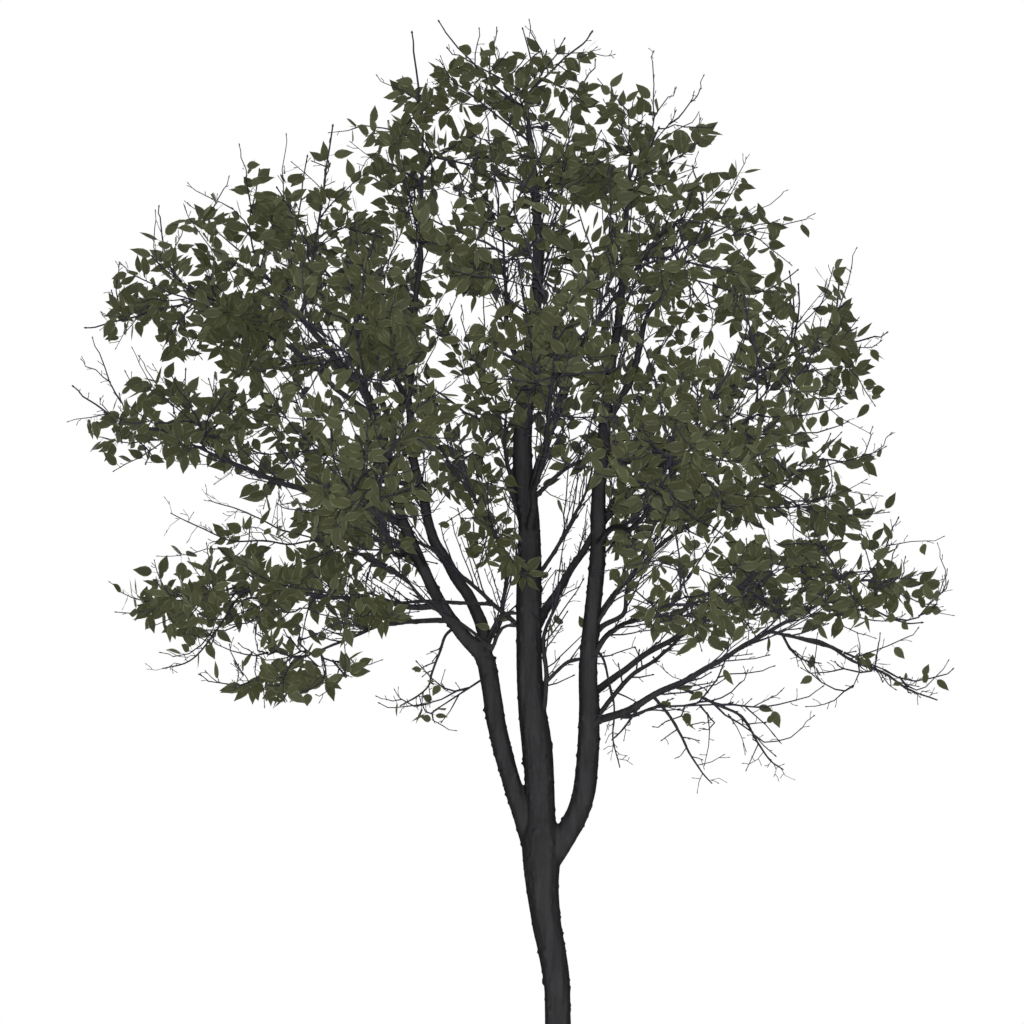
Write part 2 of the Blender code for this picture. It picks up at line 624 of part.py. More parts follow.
def build_tree():
    """Every solid of the tree, as one object each."""
    bark, green = material(*WOOD), material(*FOLIAGE)
    routes, parents = {}, {}
    trunk = tube("trunk", spline(TRUNK), TRUNK_SIDES, shape=flare)
    stubs = []
    for name, (fork, points) in STEMS.items():
        stub, stem = split_route(spline(points), fork)
        stubs.append(tube(f"{name}_stub", stub, STEM_SIDES))
        stem[0] = stem[0] + Vector((*((stem[1] - stem[0]).xyz.normalized() * GAP), 0))
        routes[name] = stem
        finish(tube(name, stem, STEM_SIDES), bark, True)
    apply_boolean(trunk, "UNION", stubs)
    finish(trunk, bark, True)

    tips = {mass: routes[stem] for mass, stem in MASS_STEM_ON.items()}
    for mass, (parent, height, course) in LEADERS.items():
        name = f"bough_{mass}"
        place = split_route(routes[parent], height)[0][-1]
        routes[name] = spline([(*place.xyz, course[0][3]), *course])
        parents[name] = parent
        tips[mass] = routes[name]
    for mass, (parent, height, *form) in BOUGHS.items():
        name = f"bough_{mass}"
        start = split_route(routes[parent], height)[0][-1].xyz
        routes[name] = bough_route(start, mass, *form)
        parents[name] = parent
        tips[mass] = routes[name]
    for name, parent in parents.items():
        bough = tube(name, routes[name], BOUGH_SIDES)
        sides = STEM_SIDES if parent in STEMS else BOUGH_SIDES
        apply_boolean(bough, "DIFFERENCE", [tube("cutter", routes[parent], sides, grow=2 * GAP)])
        finish(bough, bark, True)

    limbs = [spline(TRUNK), *routes.values()]
    for mass in MASSES:
        if mass in SPRIG_ON:
            stem, height, pitch = SPRIG_ON[mass]
            place = split_route(routes[stem], height)[0][-1]
            heading = heading_to(Vector(MASSES[mass][0]) - place.xyz, pitch, 0)
            body = build_mass(mass, place.xyz, heading, SPRIG_RADIUS, place.w * SPRIG_BARE, limbs)
            apply_boolean(body, "DIFFERENCE", [tube("cutter", routes[stem], STEM_SIDES, grow=2 * GAP)])
        else:
            end, before = tips[mass][-1], tips[mass][-2]
            body = build_mass(mass, end.xyz, (end - before).xyz.normalized(), end.w, 0, limbs)
        finish(body, green, False)


for old in list(bpy.data.objects):
    bpy.data.objects.remove(old)
build_tree()
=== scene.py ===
"""Dressed model of a young poplar with three stems, as one add-on script.

Bark with relief stands for the trunk, stems and boughs. Twigs and leaves grow on from their
tips by the same seeded rule as the solids of the foliage, carried to finer twigs.
Metres, +Z up. The origin is the middle of the flat cut under the trunk, at ground level.
"""

import functools
import math
import random

import bpy
import numpy
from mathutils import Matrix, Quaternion, Vector, noise


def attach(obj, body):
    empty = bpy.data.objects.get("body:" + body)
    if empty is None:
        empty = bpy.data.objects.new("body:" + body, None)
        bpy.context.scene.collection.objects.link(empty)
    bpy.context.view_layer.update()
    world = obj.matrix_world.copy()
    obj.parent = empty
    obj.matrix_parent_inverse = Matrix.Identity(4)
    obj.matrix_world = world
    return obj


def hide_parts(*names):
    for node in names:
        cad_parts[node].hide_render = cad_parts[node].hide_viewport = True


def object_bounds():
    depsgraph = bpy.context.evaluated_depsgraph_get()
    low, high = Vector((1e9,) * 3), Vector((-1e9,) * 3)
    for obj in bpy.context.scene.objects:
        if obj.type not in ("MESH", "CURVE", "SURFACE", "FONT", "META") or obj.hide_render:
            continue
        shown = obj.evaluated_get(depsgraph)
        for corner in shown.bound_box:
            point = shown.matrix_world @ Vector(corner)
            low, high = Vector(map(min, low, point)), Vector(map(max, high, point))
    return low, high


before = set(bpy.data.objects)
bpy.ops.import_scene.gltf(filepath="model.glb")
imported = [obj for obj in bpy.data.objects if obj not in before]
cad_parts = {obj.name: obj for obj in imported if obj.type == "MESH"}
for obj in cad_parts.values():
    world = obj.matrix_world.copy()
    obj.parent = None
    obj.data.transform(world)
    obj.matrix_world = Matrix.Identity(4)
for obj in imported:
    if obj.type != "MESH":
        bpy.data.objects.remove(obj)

bl_info = {
    "name": "Young poplar",
    "version": (1, 0, 0),
    "blender": (4, 5, 0),
    "location": "View3D > Sidebar > Poplar",
    "description": "Bark, boughs, twigs and leaves of a young poplar with three stems",
    "category": "Object",
}

CAD_BOX = [list(corner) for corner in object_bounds()]

# (x, y, z, radius) down the middle of the trunk, from the ground to inside the fork.
TRUNK = (
    (0.00, 0.00, 0.00, 0.132), (0.00, 0.00, 0.45, 0.130), (-0.01, 0.00, 0.80, 0.131),
    (-0.05, 0.00, 1.10, 0.137), (-0.11, 0.00, 1.40, 0.147), (-0.15, 0.00, 1.75, 0.163),
    (-0.16, 0.00, 2.05, 0.190), (-0.16, 0.00, 2.25, 0.196), (-0.17, 0.00, 2.48, 0.125),
)

# Each stem: how high its stub in the fork ends, then (x, y, z, radius) from inside the trunk to its tip.
STEMS = {
    "left_stem": (3.02, (
        (-0.22, 0.00, 2.02, 0.100), (-0.34, 0.03, 2.45, 0.100), (-0.47, 0.08, 2.84, 0.093),
        (-0.60, 0.14, 3.35, 0.098), (-0.67, 0.20, 3.80, 0.096), (-0.74, 0.22, 4.06, 0.094),
        (-0.93, 0.15, 4.25, 0.072), (-1.17, 0.05, 4.58, 0.064), (-1.38, 0.00, 5.02, 0.058),
        (-1.57, -0.05, 5.48, 0.052), (-1.70, -0.10, 6.08, 0.047), (-1.90, -0.15, 6.64, 0.044),
        (-2.20, -0.22, 6.98, 0.038), (-2.45, -0.30, 7.27, 0.030),
    )),
    "centre_stem": (2.98, (
        (-0.16, 0.00, 2.05, 0.150), (-0.18, 0.02, 2.80, 0.150), (-0.21, 0.05, 3.20, 0.154),
        (-0.26, 0.10, 3.60, 0.138), (-0.28, 0.12, 4.05, 0.130), (-0.28, 0.15, 4.65, 0.130),
        (-0.28, 0.15, 5.40, 0.113), (-0.34, 0.14, 5.90, 0.104), (-0.33, 0.11, 6.45, 0.092),
        (-0.25, 0.10, 7.20, 0.074), (-0.19, 0.10, 7.90, 0.060), (-0.20, 0.10, 8.65, 0.047),
        (-0.26, 0.10, 9.30, 0.030),
    )),
    "right_stem": (2.75, (
        (-0.08, 0.00, 2.02, 0.114), (0.08, -0.03, 2.27, 0.114), (0.23, -0.09, 2.58, 0.113),
        (0.29, -0.14, 2.95, 0.112), (0.31, -0.20, 3.45, 0.104), (0.30, -0.23, 3.90, 0.094),
        (0.35, -0.26, 4.50, 0.084), (0.40, -0.30, 5.05, 0.079), (0.41, -0.30, 5.60, 0.073),
        (0.46, -0.27, 6.15, 0.067), (0.52, -0.20, 6.80, 0.051), (0.63, -0.14, 7.45, 0.042),
        (0.69, -0.06, 8.20, 0.030),
    )),
}

# Each mass of foliage: middle, half-sizes of its space, and how many leaves its solid carries.
MASSES = {
    "upper_left": ((-2.72, -0.40, 8.30), (1.02, 1.05, 0.94), 19),
    "top_centre": ((-0.30, 0.10, 9.82), (1.02, 1.05, 0.70), 17),
    "top_right": ((0.80, 0.10, 9.26), (0.95, 1.10, 0.78), 18),
    "top_left": ((-1.25, 0.10, 9.22), (0.95, 1.10, 0.80), 18),
    "low_left": ((-3.28, -0.30, 4.60), (1.26, 1.05, 0.56), 21),
    "low_left_under": ((-2.60, -1.05, 3.84), (0.85, 0.85, 0.46), 16),
    "low_left_inner": ((-2.00, 1.20, 5.10), (0.90, 1.05, 0.66), 15),
    "left_tip": ((-4.02, 0.20, 6.42), (1.00, 1.00, 0.70), 19),
    "front_left": ((-1.72, -2.15, 5.72), (1.05, 1.15, 0.95), 21),
    "upper_left_tip": ((-3.78, 0.10, 7.72), (0.90, 1.00, 0.74), 18),
    "upper_left_front": ((-1.90, -1.75, 7.06), (0.95, 1.05, 0.82), 19),
    "top_front": ((-0.50, -1.70, 8.20), (1.05, 1.05, 0.88), 16),
    "top_back": ((-0.10, 1.90, 8.80), (1.30, 1.10, 1.00), 19),
    "front_centre": ((-0.05, -2.60, 6.86), (0.90, 1.00, 0.90), 17),
    "front_right": ((0.98, -2.40, 5.78), (0.98, 1.05, 0.86), 20),
    "upper_right_front": ((1.02, -1.50, 7.94), (1.00, 1.05, 0.94), 19),
    "upper_right": ((1.62, 0.50, 8.36), (0.92, 1.05, 0.94), 18),
    "right_tip": ((2.62, 0.10, 7.12), (0.82, 1.05, 0.90), 19),
    "right_front": ((1.82, -1.75, 6.40), (0.92, 1.05, 0.90), 19),
    "right_mid": ((2.22, 0.80, 5.98), (1.05, 1.10, 0.82), 20),
    "low_right": ((2.40, 1.10, 4.98), (0.90, 1.00, 0.62), 16),
    "low_right_tip": ((3.02, -0.45, 4.76), (0.95, 0.95, 0.60), 18),
    "low_right_front": ((1.32, -1.50, 4.58), (0.92, 0.90, 0.60), 15),
    "under_right": ((1.66, -0.95, 3.32), (0.90, 0.66, 0.58), 7),
    "under_right_tip": ((3.22, -0.25, 3.82), (0.78, 0.50, 0.42), 6),
    "left_back": ((-2.75, 2.05, 6.80), (1.25, 1.20, 1.05), 20),
    "upper_left_back": ((-2.10, 1.95, 8.40), (1.15, 1.10, 0.98), 19),
    "back": ((-0.60, 3.00, 7.15), (1.40, 1.10, 1.25), 22),
    "right_back": ((1.25, 2.60, 6.95), (1.35, 1.15, 1.20), 21),
    "under_left": ((-1.24, -0.20, 3.52), (0.48, 0.44, 0.46), 4),
}

# Each bough ends in the mass it is named for: parent limb and the height where it leaves it; how it
# leaves and how it arrives, each as pitch, turn in plan from straight at the mass, and share of its span
# that keeps so; its radius at both ends.
BOUGHS = {
    "low_left": ("left_stem", 4.56, (-20, 15, 0.30), (0, -10, 0.30), (0.036, 0.017)),
    "low_left_under": ("left_stem", 4.40, (0, -10, 0.36), (-25, 0, 0.36), (0.028, 0.014)),
    "low_left_inner": ("left_stem", 4.80, (15, 0, 0.36), (-5, 0, 0.36), (0.034, 0.017)),
    "left_tip": ("left_stem", 5.36, (18, -4, 0.39), (30, 2, 0.14), (0.038, 0.017)),
    "front_left": ("left_stem", 4.95, (32, 0, 0.36), (50, 0, 0.36), (0.036, 0.018)),
    "upper_left_tip": ("left_stem", 6.42, (34, 0, 0.36), (26, 0, 0.36), (0.032, 0.016)),
    "upper_left_front": ("left_stem", 5.80, (40, 0, 0.36), (55, 0, 0.36), (0.032, 0.016)),
    "left_back": ("bough_top_left", 5.80, (30, 0, 0.36), (40, 0, 0.36), (0.032, 0.016)),
    "upper_left_back": ("bough_top_left", 6.70, (42, 0, 0.36), (58, 0, 0.36), (0.030, 0.016)),
    "top_front": ("centre_stem", 6.62, (74, -30, 0.39), (45, 8, 0.36), (0.036, 0.016)),
    "top_back": ("centre_stem", 7.00, (50, 0, 0.36), (55, 0, 0.36), (0.036, 0.018)),
    "front_centre": ("centre_stem", 5.25, (46, 0, 0.36), (50, 0, 0.36), (0.042, 0.018)),
    "back": ("centre_stem", 5.00, (40, 0, 0.36), (45, 0, 0.36), (0.050, 0.020)),
    "right_back": ("centre_stem", 4.21, (41, 4, 0.36), (46, -3, 0.26), (0.055, 0.020)),
    "upper_right_front": ("centre_stem", 5.55, (60, -9, 0.44), (30, -2, 0.30), (0.048, 0.018)),
    "front_right": ("right_stem", 5.10, (36, 0, 0.36), (40, 0, 0.36), (0.038, 0.018)),
    "upper_right": ("right_stem", 6.32, (49, -1, 0.46), (45, -10, 0.28), (0.044, 0.018)),
    "right_tip": ("right_stem", 5.30, (43, -1, 0.31), (21, -7, 0.34), (0.042, 0.017)),
    "right_front": ("right_stem", 5.85, (20, 0, 0.36), (38, 0, 0.36), (0.030, 0.016)),
    "right_mid": ("right_stem", 4.30, (54, 0, 0.36), (30, 0, 0.36), (0.032, 0.016)),
    "low_right": ("right_stem", 3.62, (28, 20, 0.36), (20, 20, 0.30), (0.040, 0.016)),
    "low_right_tip": ("right_stem", 3.35, (10, -45, 0.36), (28, 25, 0.40), (0.044, 0.016)),
    "low_right_front": ("right_stem", 3.95, (60, 25, 0.40), (20, 10, 0.20), (0.034, 0.016)),
    "under_right_tip": ("bough_low_right_tip", 4.20, (-5, 25, 0.36), (-25, 0, 0.36), (0.018, 0.013)),
    "under_right": ("bough_low_right_tip", 3.44, (-35, -30, 0.36), (-15, 0, 0.36), (0.020, 0.012)),
}

# Big limbs that fork from a stem and run up to a mass: parent, height where they leave it, and (x, y, z,
# radius) along their courses.
LEADERS = {
    "top_left": ("left_stem", 3.98, (
        (-0.75, 0.37, 4.42, 0.066), (-0.92, 0.52, 4.72, 0.060), (-1.20, 0.68, 5.20, 0.054),
        (-1.40, 0.80, 5.85, 0.048), (-1.49, 0.80, 6.55, 0.040), (-1.49, 0.66, 7.20, 0.034),
        (-1.42, 0.45, 7.95, 0.028), (-1.38, 0.28, 8.70, 0.021),
    )),
}

MASS_STEM_ON = {"upper_left": "left_stem", "top_centre": "centre_stem", "top_right": "right_stem"}
SPRIG_ON = {"under_left": ("left_stem", 3.86, -30)}  # a mass that grows straight from a stem
SPRIG_RADIUS = 0.013
SPRIG_CLEAR = 1.5  # the sprig is bare for this many radii of its stem
SPRAY_RADIUS = 0.014
SPRAY_DROP = 0.3  # a spray leaves its limb near a place this far below its own middle
SLIM = 0.6  # a spray's or shoot's foot is at most this share of its limb's radius
CHILD = 0.85  # a bough's or twig's foot is at most this share of the radius of the wood that bears it
ENTRY = 0.82  # how far out from a mass's middle its bough ends, as a share of its space

# Side limbs too slim for a solid of their own: radius at both ends, then (x, y, z) from inside the limb
# that bears them to the tip.
SIDE_LIMBS = {
    "sucker": ((0.034, 0.011), (
        (-0.16, 0.05, 3.36), (-0.09, 0.02, 3.53), (-0.12, 0.00, 3.87), (-0.14, 0.02, 4.17),
        (-0.09, 0.00, 4.37), (0.02, -0.06, 4.62),
    )),
    "rising_right": ((0.030, 0.014), (
        (0.33, -0.20, 3.30), (0.46, -0.20, 3.49), (0.75, -0.10, 3.84), (1.00, 0.04, 4.02),
        (1.30, 0.22, 4.30),
    )),
    "level_right": ((0.021, 0.007), (
        (1.42, 0.26, 4.38), (1.65, 0.20, 4.41), (1.90, 0.14, 4.43), (2.20, 0.06, 4.49),
        (2.55, 0.02, 4.58),
    )),
    "bridge_low": ((0.022, 0.012), (
        (-0.66, 0.16, 4.06), (-0.60, 0.14, 4.16), (-0.55, 0.12, 4.30), (-0.48, 0.10, 4.36),
        (-0.34, 0.10, 4.34),
    )),
    "bridge_high": ((0.022, 0.015), (
        (-0.74, 0.20, 4.20), (-0.62, 0.16, 4.40), (-0.50, 0.13, 4.48), (-0.30, 0.12, 4.46),
    )),
    "upright_right": ((0.034, 0.010), (
        (0.34, -0.22, 4.10), (0.44, -0.20, 4.29), (0.63, -0.15, 4.44), (0.70, -0.10, 4.68),
        (0.83, 0.00, 5.00), (1.00, 0.08, 5.40),
    )),
    "twin_right": ((0.026, 0.009), (
        (0.35, -0.24, 4.16), (0.42, -0.30, 4.38), (0.57, -0.45, 4.61), (0.66, -0.60, 4.90),
        (0.72, -0.76, 5.24),
    )),
    "upright_left": ((0.030, 0.010), (
        (-0.70, 0.20, 3.98), (-0.67, 0.25, 4.22), (-0.56, 0.35, 4.49), (-0.52, 0.50, 4.90),
        (-0.56, 0.62, 5.36),
    )),
    "crossing": ((0.020, 0.013), (
        (-0.15, 0.02, 3.78), (-0.04, -0.02, 3.87), (0.10, -0.10, 3.97), (0.31, -0.21, 4.00),
    )),
    "slant_right": ((0.026, 0.009), (
        (-0.28, 0.14, 4.72), (-0.17, 0.12, 4.89), (0.06, 0.00, 5.22), (0.18, -0.05, 5.45),
        (0.30, -0.10, 5.72), (0.36, -0.12, 5.95),
    )),
    "slant_left": ((0.028, 0.010), (
        (-0.36, 0.10, 4.22), (-0.51, 0.16, 4.43), (-0.77, 0.30, 4.71), (-1.03, 0.45, 4.98),
        (-1.26, 0.55, 5.19), (-1.70, 0.65, 5.43),
    )),
    "rising_left": ((0.036, 0.010), (
        (-0.28, 0.12, 4.74), (-0.38, 0.06, 4.87), (-0.57, -0.15, 5.13), (-0.70, -0.30, 5.41),
        (-0.89, -0.40, 5.65), (-1.24, -0.55, 6.20),
    )),
    "under_left_stem": ((0.026, 0.011), (
        (-0.70, 0.12, 4.16), (-0.97, -0.05, 4.37), (-1.13, -0.12, 4.46), (-1.41, -0.20, 4.69),
        (-1.68, -0.25, 4.92),
    )),
    "level_left": ((0.024, 0.010), (
        (-0.72, 0.22, 4.50), (-1.07, 0.02, 4.55), (-1.31, -0.05, 4.57), (-1.61, -0.10, 4.59),
        (-1.91, -0.15, 4.66),
    )),
    "cross_upper": ((0.026, 0.012), (
        (-0.26, 0.14, 5.60), (-0.01, 0.05, 5.83), (0.15, 0.00, 5.95), (0.31, -0.20, 5.99),
        (0.46, -0.45, 5.84),
    )),
    "drop_left": ((0.017, 0.007), (
        (-0.98, 0.10, 4.38), (-1.10, -0.02, 4.25), (-1.16, -0.08, 4.04), (-1.23, -0.10, 3.84),
        (-1.29, -0.12, 3.69), (-1.56, -0.12, 3.53),
    )),
    "drop_right": ((0.015, 0.006), (
        (0.31, -0.24, 4.10), (0.43, -0.34, 3.99), (0.48, -0.38, 3.82), (0.53, -0.40, 3.57),
        (0.54, -0.42, 3.23), (0.60, -0.42, 2.91),
    )),
    "droop_a": ((0.017, 0.006), (
        (0.98, -0.46, 3.64), (1.11, -0.52, 3.42), (1.19, -0.55, 3.19), (1.27, -0.56, 3.01),
        (1.39, -0.56, 2.85), (1.49, -0.56, 2.75),
    )),
    "droop_b": ((0.017, 0.006), (
        (1.28, -0.48, 3.64), (1.57, -0.54, 3.50), (1.81, -0.56, 3.35), (1.93, -0.56, 3.15),
        (2.05, -0.56, 2.98), (2.19, -0.56, 2.88),
    )),
    "droop_c": ((0.015, 0.006), (
        (0.86, -0.40, 3.58), (0.72, -0.50, 3.39), (0.62, -0.52, 3.27), (0.50, -0.52, 3.16),
    )),
    "outer_low": ((0.023, 0.007), (
        (2.24, -0.40, 4.30), (2.61, -0.42, 4.11), (2.86, -0.40, 3.98), (3.14, -0.36, 3.87),
        (3.41, -0.30, 3.70), (3.73, -0.26, 3.58),
    )),
    "outer_mid": ((0.014, 0.006), (
        (2.00, -0.42, 4.30), (2.21, -0.50, 4.07), (2.39, -0.52, 3.95), (2.57, -0.52, 3.92),
    )),
    "notch_low": ((0.017, 0.005), (
        (-1.90, -0.06, 5.10), (-2.37, -0.20, 5.16), (-2.65, -0.25, 5.12), (-2.92, -0.28, 5.15),
        (-3.29, -0.30, 5.19), (-3.85, -0.30, 5.44),
    )),
    "notch_high": ((0.013, 0.005), (
        (-2.32, -0.19, 5.14), (-2.71, -0.15, 5.28), (-2.94, -0.10, 5.39), (-3.49, 0.00, 5.60),
    )),
    "drop_far_left": ((0.015, 0.006), (
        (-2.25, -0.31, 4.60), (-2.75, -0.33, 4.66), (-3.10, -0.36, 4.60), (-3.28, -0.38, 4.35),
        (-3.45, -0.38, 4.10), (-3.64, -0.36, 3.94), (-3.90, -0.34, 3.88),
    )),
}

# Small sprays between the masses: middle, half-sizes and leaves as above, and the limb that bears each.
SPRAYS = {
    "low_centre": ((-0.42, -0.42, 5.02), (0.58, 0.42, 0.52), 3, "centre_stem"),
    "right_low_inner": ((0.60, -0.45, 5.20), (0.42, 0.40, 0.36), 4, "right_stem"),
    "low_right_inner": ((1.45, -0.75, 4.35), (0.75, 0.55, 0.35), 8, "bough_low_right_front"),
    "between_stems": ((-0.72, -0.10, 5.55), (0.42, 0.55, 0.80), 9, "rising_left"),
    "left_inner": ((-1.98, -0.42, 5.60), (0.85, 0.65, 0.52), 13, "left_stem"),
    "left_low_inner": ((-1.95, -0.45, 4.48), (0.60, 0.55, 0.36), 5, "bough_low_left"),
    "right_inner": ((0.95, -0.55, 5.65), (0.60, 0.55, 0.52), 7, "right_stem"),
    "right_gap": ((1.55, -0.20, 5.52), (0.80, 0.75, 0.34), 8, "bough_right_mid"),
    "right_outer_gap": ((2.75, 0.10, 5.55), (0.75, 0.75, 0.36), 8, "bough_right_mid"),
    "centre": ((-0.15, -0.75, 6.45), (0.90, 0.65, 0.60), 11, "centre_stem"),
    "centre_right": ((0.45, -0.70, 6.98), (0.60, 0.60, 0.55), 4, "right_stem"),
    "left_between": ((-3.12, -0.10, 7.42), (0.70, 0.50, 0.32), 8, "bough_upper_left_tip"),
    "left_middle": ((-1.70, -0.60, 7.06), (0.48, 0.50, 0.36), 12, "bough_upper_left_front"),
    "left_shoulder": ((-1.02, -0.10, 9.88), (0.48, 0.45, 0.32), 3, "centre_stem"),
    "above_between": ((-0.82, -0.35, 7.84), (0.32, 0.40, 0.30), 8, "centre_stem"),
    "right_under_top": ((0.38, -0.40, 8.72), (0.36, 0.45, 0.30), 5, "right_stem"),
    "left_fork_inner": ((-3.12, -0.10, 6.98), (0.35, 0.45, 0.25), 3, "bough_upper_left_tip"),
    "upper_left_inner": ((-2.85, -0.20, 8.42), (0.35, 0.40, 0.30), 4, "bough_upper_left_tip"),
    "under_top": ((-0.15, -0.45, 8.93), (0.92, 0.50, 0.34), 14, "centre_stem"),
    "centre_line": ((-0.08, -0.45, 6.98), (0.45, 0.38, 0.42), 9, "centre_stem"),
    "notch": ((-3.05, -0.20, 5.32), (0.70, 0.35, 0.28), 1, "notch_low"),
}

# Leafier and barer places in the crown: x and z of the middle, reach, and by how much the share of leaves
# that grow there changes.
PATCHES = {
    "leafier at the upper left": (
        (-3.20, 8.20, 0.42, 1.5), (-2.82, 8.50, 0.33, 2.4), (-3.56, 8.24, 0.30, 2.4),
        (-4.40, 7.70, 0.35, 2.0), (-3.50, 7.12, 0.33, 2.4), (-3.10, 6.98, 0.28, 1.6),
        (-2.90, 7.57, 0.36, 2.5), (-2.30, 7.46, 0.33, 2.4), (-1.64, 7.02, 0.36, 3.0),
    ),
    "leafier in the left tier": (
        (-3.80, 6.50, 0.30, 1.7), (-3.48, 5.88, 0.35, 2.0), (-2.80, 5.42, 0.25, 1.2),
        (-2.92, 6.22, 0.30, 2.0), (-2.08, 6.28, 0.30, 1.2), (-4.66, 6.28, 0.30, 2.2),
        (-4.20, 6.53, 0.28, 1.0),
    ),
    "leafier at the top": (
        (-1.20, 9.84, 0.38, 1.7), (-1.38, 9.20, 0.32, 2.5), (-0.76, 9.98, 0.28, 1.1),
        (-1.90, 8.82, 0.36, 2.9), (-1.41, 8.10, 0.26, 2.6), (-0.68, 9.05, 0.40, 2.8),
        (0.42, 9.80, 0.30, 2.2), (-0.25, 9.93, 0.25, 1.2), (0.26, 8.76, 0.36, 2.8),
    ),
    "leafier at the upper right": (
        (1.16, 7.24, 0.25, 1.2), (1.74, 8.30, 0.30, 1.5), (1.30, 9.25, 0.35, 1.0),
        (0.98, 8.22, 0.27, 1.2), (0.97, 7.68, 0.34, 2.0),
    ),
    "leafier over the stems": (
        (-0.10, 6.93, 0.38, 2.5), (0.06, 8.03, 0.25, 1.2), (-0.86, 7.70, 0.32, 2.9),
        (-0.76, 6.63, 0.30, 1.2), (-0.65, 4.84, 0.25, 1.6), (0.30, 5.66, 0.25, 1.3),
        (-0.60, 5.62, 0.25, 1.5),
    ),
    "leafier at the right": (
        (1.28, 6.45, 0.45, 1.8), (1.12, 5.80, 0.35, 1.8), (0.55, 6.56, 0.32, 1.9),
        (1.92, 7.44, 0.28, 2.8), (2.50, 7.10, 0.32, 0.9), (2.96, 6.80, 0.35, 1.9),
        (2.86, 7.68, 0.22, 0.9), (3.05, 7.20, 0.30, 1.2), (2.36, 6.04, 0.32, 1.9),
        (2.81, 5.32, 0.27, 1.3),
    ),
    "leafier at the lower right": (
        (2.58, 4.48, 0.28, 1.8), (3.40, 4.76, 0.25, 0.5), (1.95, 5.00, 0.28, 1.5),
        (1.60, 4.35, 0.30, 0.9),
    ),
    "leafier at the front left": (
        (-1.75, 5.94, 0.42, 2.1), (-1.12, 6.22, 0.25, 1.2), (-2.12, 5.36, 0.36, 1.5),
    ),
    "leafier at the lower left": (
        (-3.75, 4.50, 0.45, 1.6), (-4.20, 4.80, 0.25, 1.3), (-3.05, 4.80, 0.38, 2.0),
        (-2.52, 5.02, 0.30, 1.3), (-2.62, 4.30, 0.26, 2.4), (-3.60, 4.06, 0.30, 2.2),
        (-2.65, 3.64, 0.30, 1.6), (-1.85, 4.34, 0.28, 2.3),
    ),
    "barer at the top": (
        (-1.02, 10.20, 0.30, -1.8), (-0.96, 9.57, 0.20, -1.0), (-0.10, 10.28, 0.33, -1.3),
        (-0.05, 9.48, 0.32, -1.5), (1.34, 9.68, 0.32, -1.6), (0.84, 9.98, 0.25, -1.2),
        (-1.78, 9.44, 0.30, -1.3), (0.62, 9.16, 0.28, -0.9), (1.66, 8.79, 0.34, -1.2),
    ),
    "barer at the right": (
        (2.62, 6.38, 0.38, -1.0), (3.02, 7.36, 0.28, -0.9), (0.65, 7.10, 0.32, -2.2),
        (2.15, 6.55, 0.35, -1.0), (1.34, 8.00, 0.32, -2.0), (1.64, 6.92, 0.32, -2.1),
        (1.66, 6.32, 0.26, -1.0), (0.32, 6.22, 0.25, -1.2), (2.58, 7.50, 0.30, -1.5),
        (3.05, 5.62, 0.32, -0.7), (2.48, 5.70, 0.28, -1.2), (1.38, 5.12, 0.40, -0.35),
    ),
    "barer at the lower right": (
        (2.92, 4.82, 0.28, -1.2), (1.92, 4.52, 0.30, -1.0),
    ),
    "barer at the upper left": (
        (-2.52, 9.07, 0.35, -1.6), (-3.32, 8.74, 0.35, -2.0), (-2.30, 8.25, 0.35, -0.6),
        (-3.70, 7.48, 0.33, -0.9), (-4.66, 6.68, 0.32, -1.8), (-2.14, 7.88, 0.30, -2.2),
    ),
    "barer in the left tier": (
        (-4.07, 6.08, 0.27, -0.9), (-4.02, 6.84, 0.25, -0.9), (-2.30, 6.90, 0.30, -3.0),
        (-1.70, 6.45, 0.32, -2.4), (-3.15, 6.60, 0.25, -0.8), (-2.60, 5.80, 0.30, -2.2),
        (-1.17, 5.72, 0.22, -1.0),
    ),
    "barer at the front": (
        (-0.74, 8.55, 0.40, -3.2), (-0.38, 7.50, 0.32, -3.0), (-0.05, 8.40, 0.36, -1.3),
        (-1.37, 8.62, 0.34, -2.5), (-0.32, 6.12, 0.52, -1.1), (-0.30, 5.12, 0.26, -1.0),
    ),
    "barer at the lower left": (
        (-3.08, 4.00, 0.36, -2.0), (-2.35, 4.00, 0.32, -1.8), (-1.72, 4.78, 0.32, -1.7),
        (-3.90, 5.20, 0.28, -1.0), (-2.37, 4.55, 0.25, -0.6),
    ),
    "barer where the right bough hangs": (
        (1.60, 3.50, 1.00, -0.8),
    ),
}
LEAST_LEAFY, MOST_LEAFY = 0.05, 3.0  # the share of leaves that grow at a place stays between these
CROWN_MIDDLE = (-0.50, 0.20, 6.70)
CROWN_HALF = (4.40, 3.60, 3.85)
THIN_FROM = 0.82  # beyond this share of the crown's half-sizes the leaves grow sparser
THIN_BY = 0.75
THIN_ABOVE = (6.8, 7.8)  # and only above these heights, where the crown is one dome

# Growth of the twigs in a mass, by the same rule as its solid.
SEED = "poplar"
NODE_STEP = 0.15  # spacing of the places where a twig may branch
TURN_COST = 1.2  # how strongly a twig prefers to leave ahead
PATH_WEIGHT = 0.2  # how strongly a twig prefers a short way back to the bough
JOINT_COST = 0.35  # how strongly a twig shuns a place that others leave from
HEADING_SHARE = 0.55  # how far a twig first keeps the way of the wood that it leaves
SAG = 0.16  # a twig hangs by this share of its length before it turns up
STEM_REACH = 0.9  # the stem of a mass ends this far along the way to its middle
SKIN = 0.98  # skin of a mass's space, as a share of its half-sizes
CANDIDATES = 10  # places tried for each new twig end, of which the loneliest is taken
SHELL = (0.45, 1.30)  # twigs end this far out from the middle of the mass's space
FILL = 1.8  # between two masses twigs go on while the product of their depths is below this
SPACE_MARGIN = 0.035  # clearance between the spaces of two masses
LIMB_CLEARANCE = 0.02
